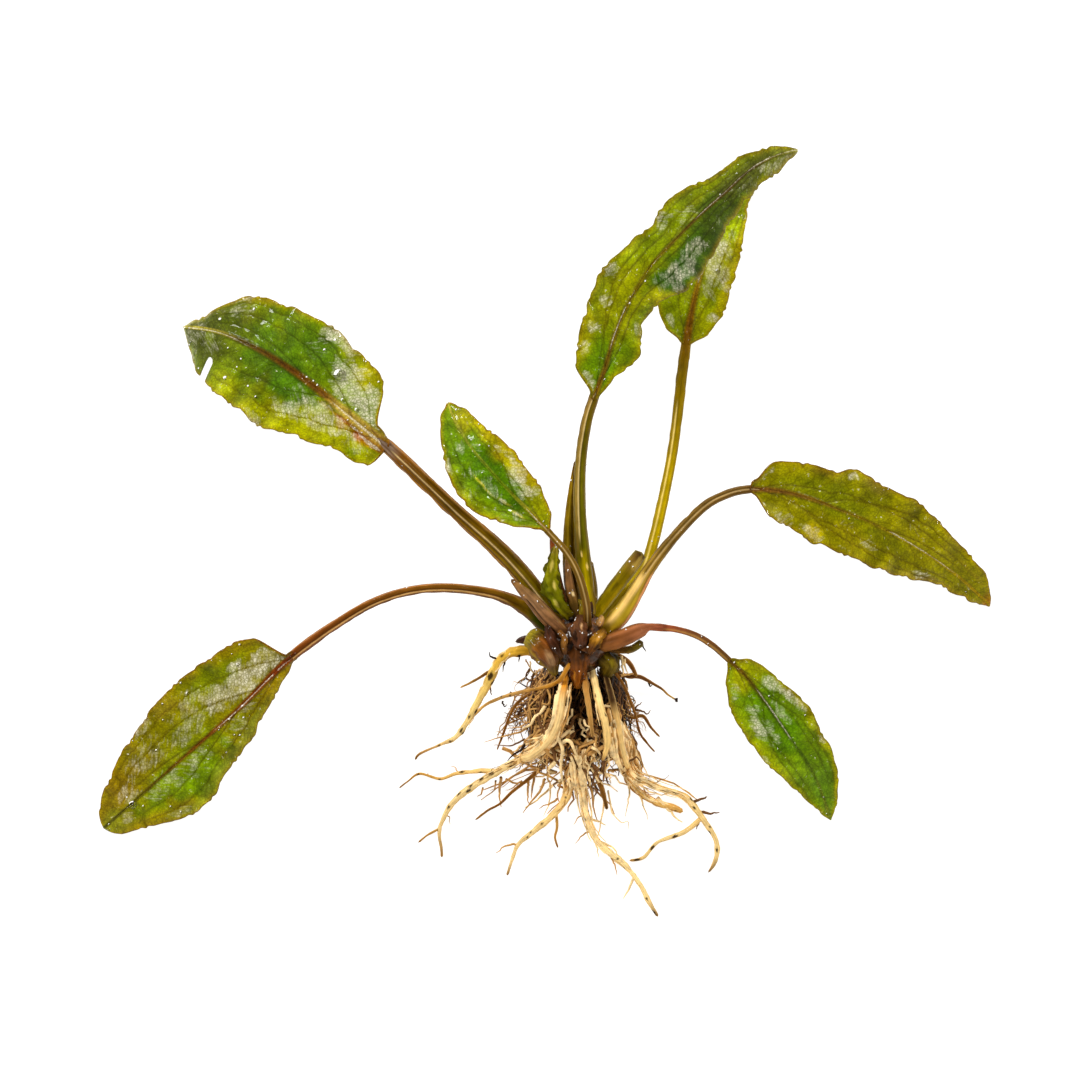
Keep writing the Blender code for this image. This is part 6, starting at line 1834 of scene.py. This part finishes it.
def makeBeads(rng):
    graph = bpy.context.evaluated_depsgraph_get()
    eye = Vector((*studio["aim"], studio["distance"])) * mm
    dome = bmesh.new()
    bmesh.ops.create_uvsphere(dome, u_segments=16, v_segments=12, radius=mm)
    whole = [*dome.verts, *dome.edges, *dome.faces]
    bmesh.ops.bisect_plane(dome, geom=whole, plane_co=(0, 0, 0), plane_no=(0, 0, 1), clear_inner=True)
    bead = bpy.data.meshes.new("bead")
    dome.to_mesh(bead)
    dome.free()
    wanted = [((x, y, 0), radius, "") for x, y, radius in beads["places"]]
    for piece in list(bpy.context.scene.objects):
        for start, count in beads["strewn"].items():
            if piece.name.startswith(start):
                wanted += [
                    (rng.choice(piece.data.vertices).co / mm, rng.uniform(*beads["radius"]), piece.name)
                    for number in range(count)
                ]
    bm = bmesh.new()
    for place, radius, name in wanted:
        aim = Vector(place) * mm - eye
        hit, spot, normal, face, piece, matrix = bpy.context.scene.ray_cast(graph, eye, aim.normalized())
        if not hit or (name and piece.name != name):
            continue
        if name.startswith("blade_") and rng.random() > beads["inland"]:
            # most of the strewn ones stand near a margin
            turn = rng.uniform(0, 2 * math.pi)
            aside = Vector((math.cos(turn), math.sin(turn), 0)) * beads["nearMargin"] * mm
            beside = bpy.context.scene.ray_cast(graph, eye, (aim + aside).normalized())
            if beside[0] and beside[4].name == name:
                continue
        before = set(bm.verts)
        bm.from_mesh(bead)
        added = [vert for vert in bm.verts if vert not in before]
        stretch = radius * rng.uniform(*beads["stretch"])
        turn = normal.to_track_quat("Z", "Y").to_matrix().to_4x4()
        shaped = Matrix.Diagonal((radius, stretch, beads["height"] * radius, 1))
        spin = Matrix.Rotation(rng.uniform(0, math.pi), 4, "Z")
        sunk = Matrix.Translation(spot - beads["sunk"] * radius * mm * normal)
        bmesh.ops.transform(bm, verts=added, matrix=sunk @ turn @ spin @ shaped)
        # faces turned towards the glint direction get the painted white glint
        glintFrom = beads["glintFrom"]["small" if radius < beads["largeFrom"] else "large"]
        for part in {part for vert in added for part in vert.link_faces}:
            part.normal_update()
            part.material_index = int(part.normal.dot(beads["glint"]) > glintFrom)
    mesh = bpy.data.meshes.new("water_drops")
    bm.to_mesh(mesh)
    bm.free()
    addPiece("water_drops", mesh, water, [])


makeBeads(rng)
print("water strewn")

studioRoom = bpy.data.worlds.new("Studio")
bpy.context.scene.world = studioRoom
studioRoom.use_nodes = True
roomTree = studioRoom.node_tree
upward = addNode(roomTree, "TexCoord", {}).outputs["Generated"]
upward = addNode(roomTree, "SeparateXYZ", {}, {"Vector": upward}).outputs["Z"]
brightness = addNode(
    roomTree, "MapRange", {"To Min": studio["roomLight"][0], "To Max": studio["roomLight"][1]},
    {"Value": upward},
).outputs["Result"]
roomTree.links.new(brightness, roomTree.nodes["Background"].inputs["Strength"])
roomTree.nodes["Background"].inputs["Color"].default_value = (*linear(studio["roomColour"]), 1)


def addLight(name, place, size, share):
    # share is how much of a full exposure it gives the table under it
    place = Vector(place) * mm
    light = bpy.data.lights.new(name, "AREA")
    light.shape = "DISK"
    light.size = size * mm
    light.energy = share * math.pi**2 * place.length**2 * (place.length / place.z)
    lamp = bpy.data.objects.new(name, light)
    lamp.location = place
    lamp.rotation_euler = (-place).to_track_quat("-Z", "Y").to_euler()
    bpy.context.scene.collection.objects.link(lamp)


addLight("Softbox", **studio["softbox"])
addLight("Key light", **studio["keyLight"])

floorMesh = bpy.data.meshes.new("table")
bm = bmesh.new()
bmesh.ops.create_grid(bm, x_segments=1, y_segments=1, size=studio["floorSize"] * mm / 2)
bm.to_mesh(floorMesh)
bm.free()
floor = bpy.data.objects.new("table", floorMesh)
floor.location.z = -0.02 * mm
bpy.context.scene.collection.objects.link(floor)
floorPaint = newMaterial("White table", {
    "Base Color": (*linear(studio["floorColour"]), 1), "Roughness": 0.9, "Specular IOR Level": 0.0,
    "Emission Color": (1, 1, 1, 1), "Emission Strength": studio["floorGlow"],
})[0]
floorMesh.materials.append(floorPaint)

cameraData = bpy.data.cameras.new("Camera")
cameraData.lens = studio["lens"]
cameraData.sensor_width = studio["sensor"]
cameraData.clip_start = 0.01
cameraData.clip_end = 10
camera = bpy.data.objects.new("Camera", cameraData)
camera.location = (studio["aim"][0] * mm, studio["aim"][1] * mm, studio["distance"] * mm)
bpy.context.scene.collection.objects.link(camera)
bpy.context.scene.camera = camera
bpy.context.scene.view_settings.view_transform = "Standard"
print("studio set")
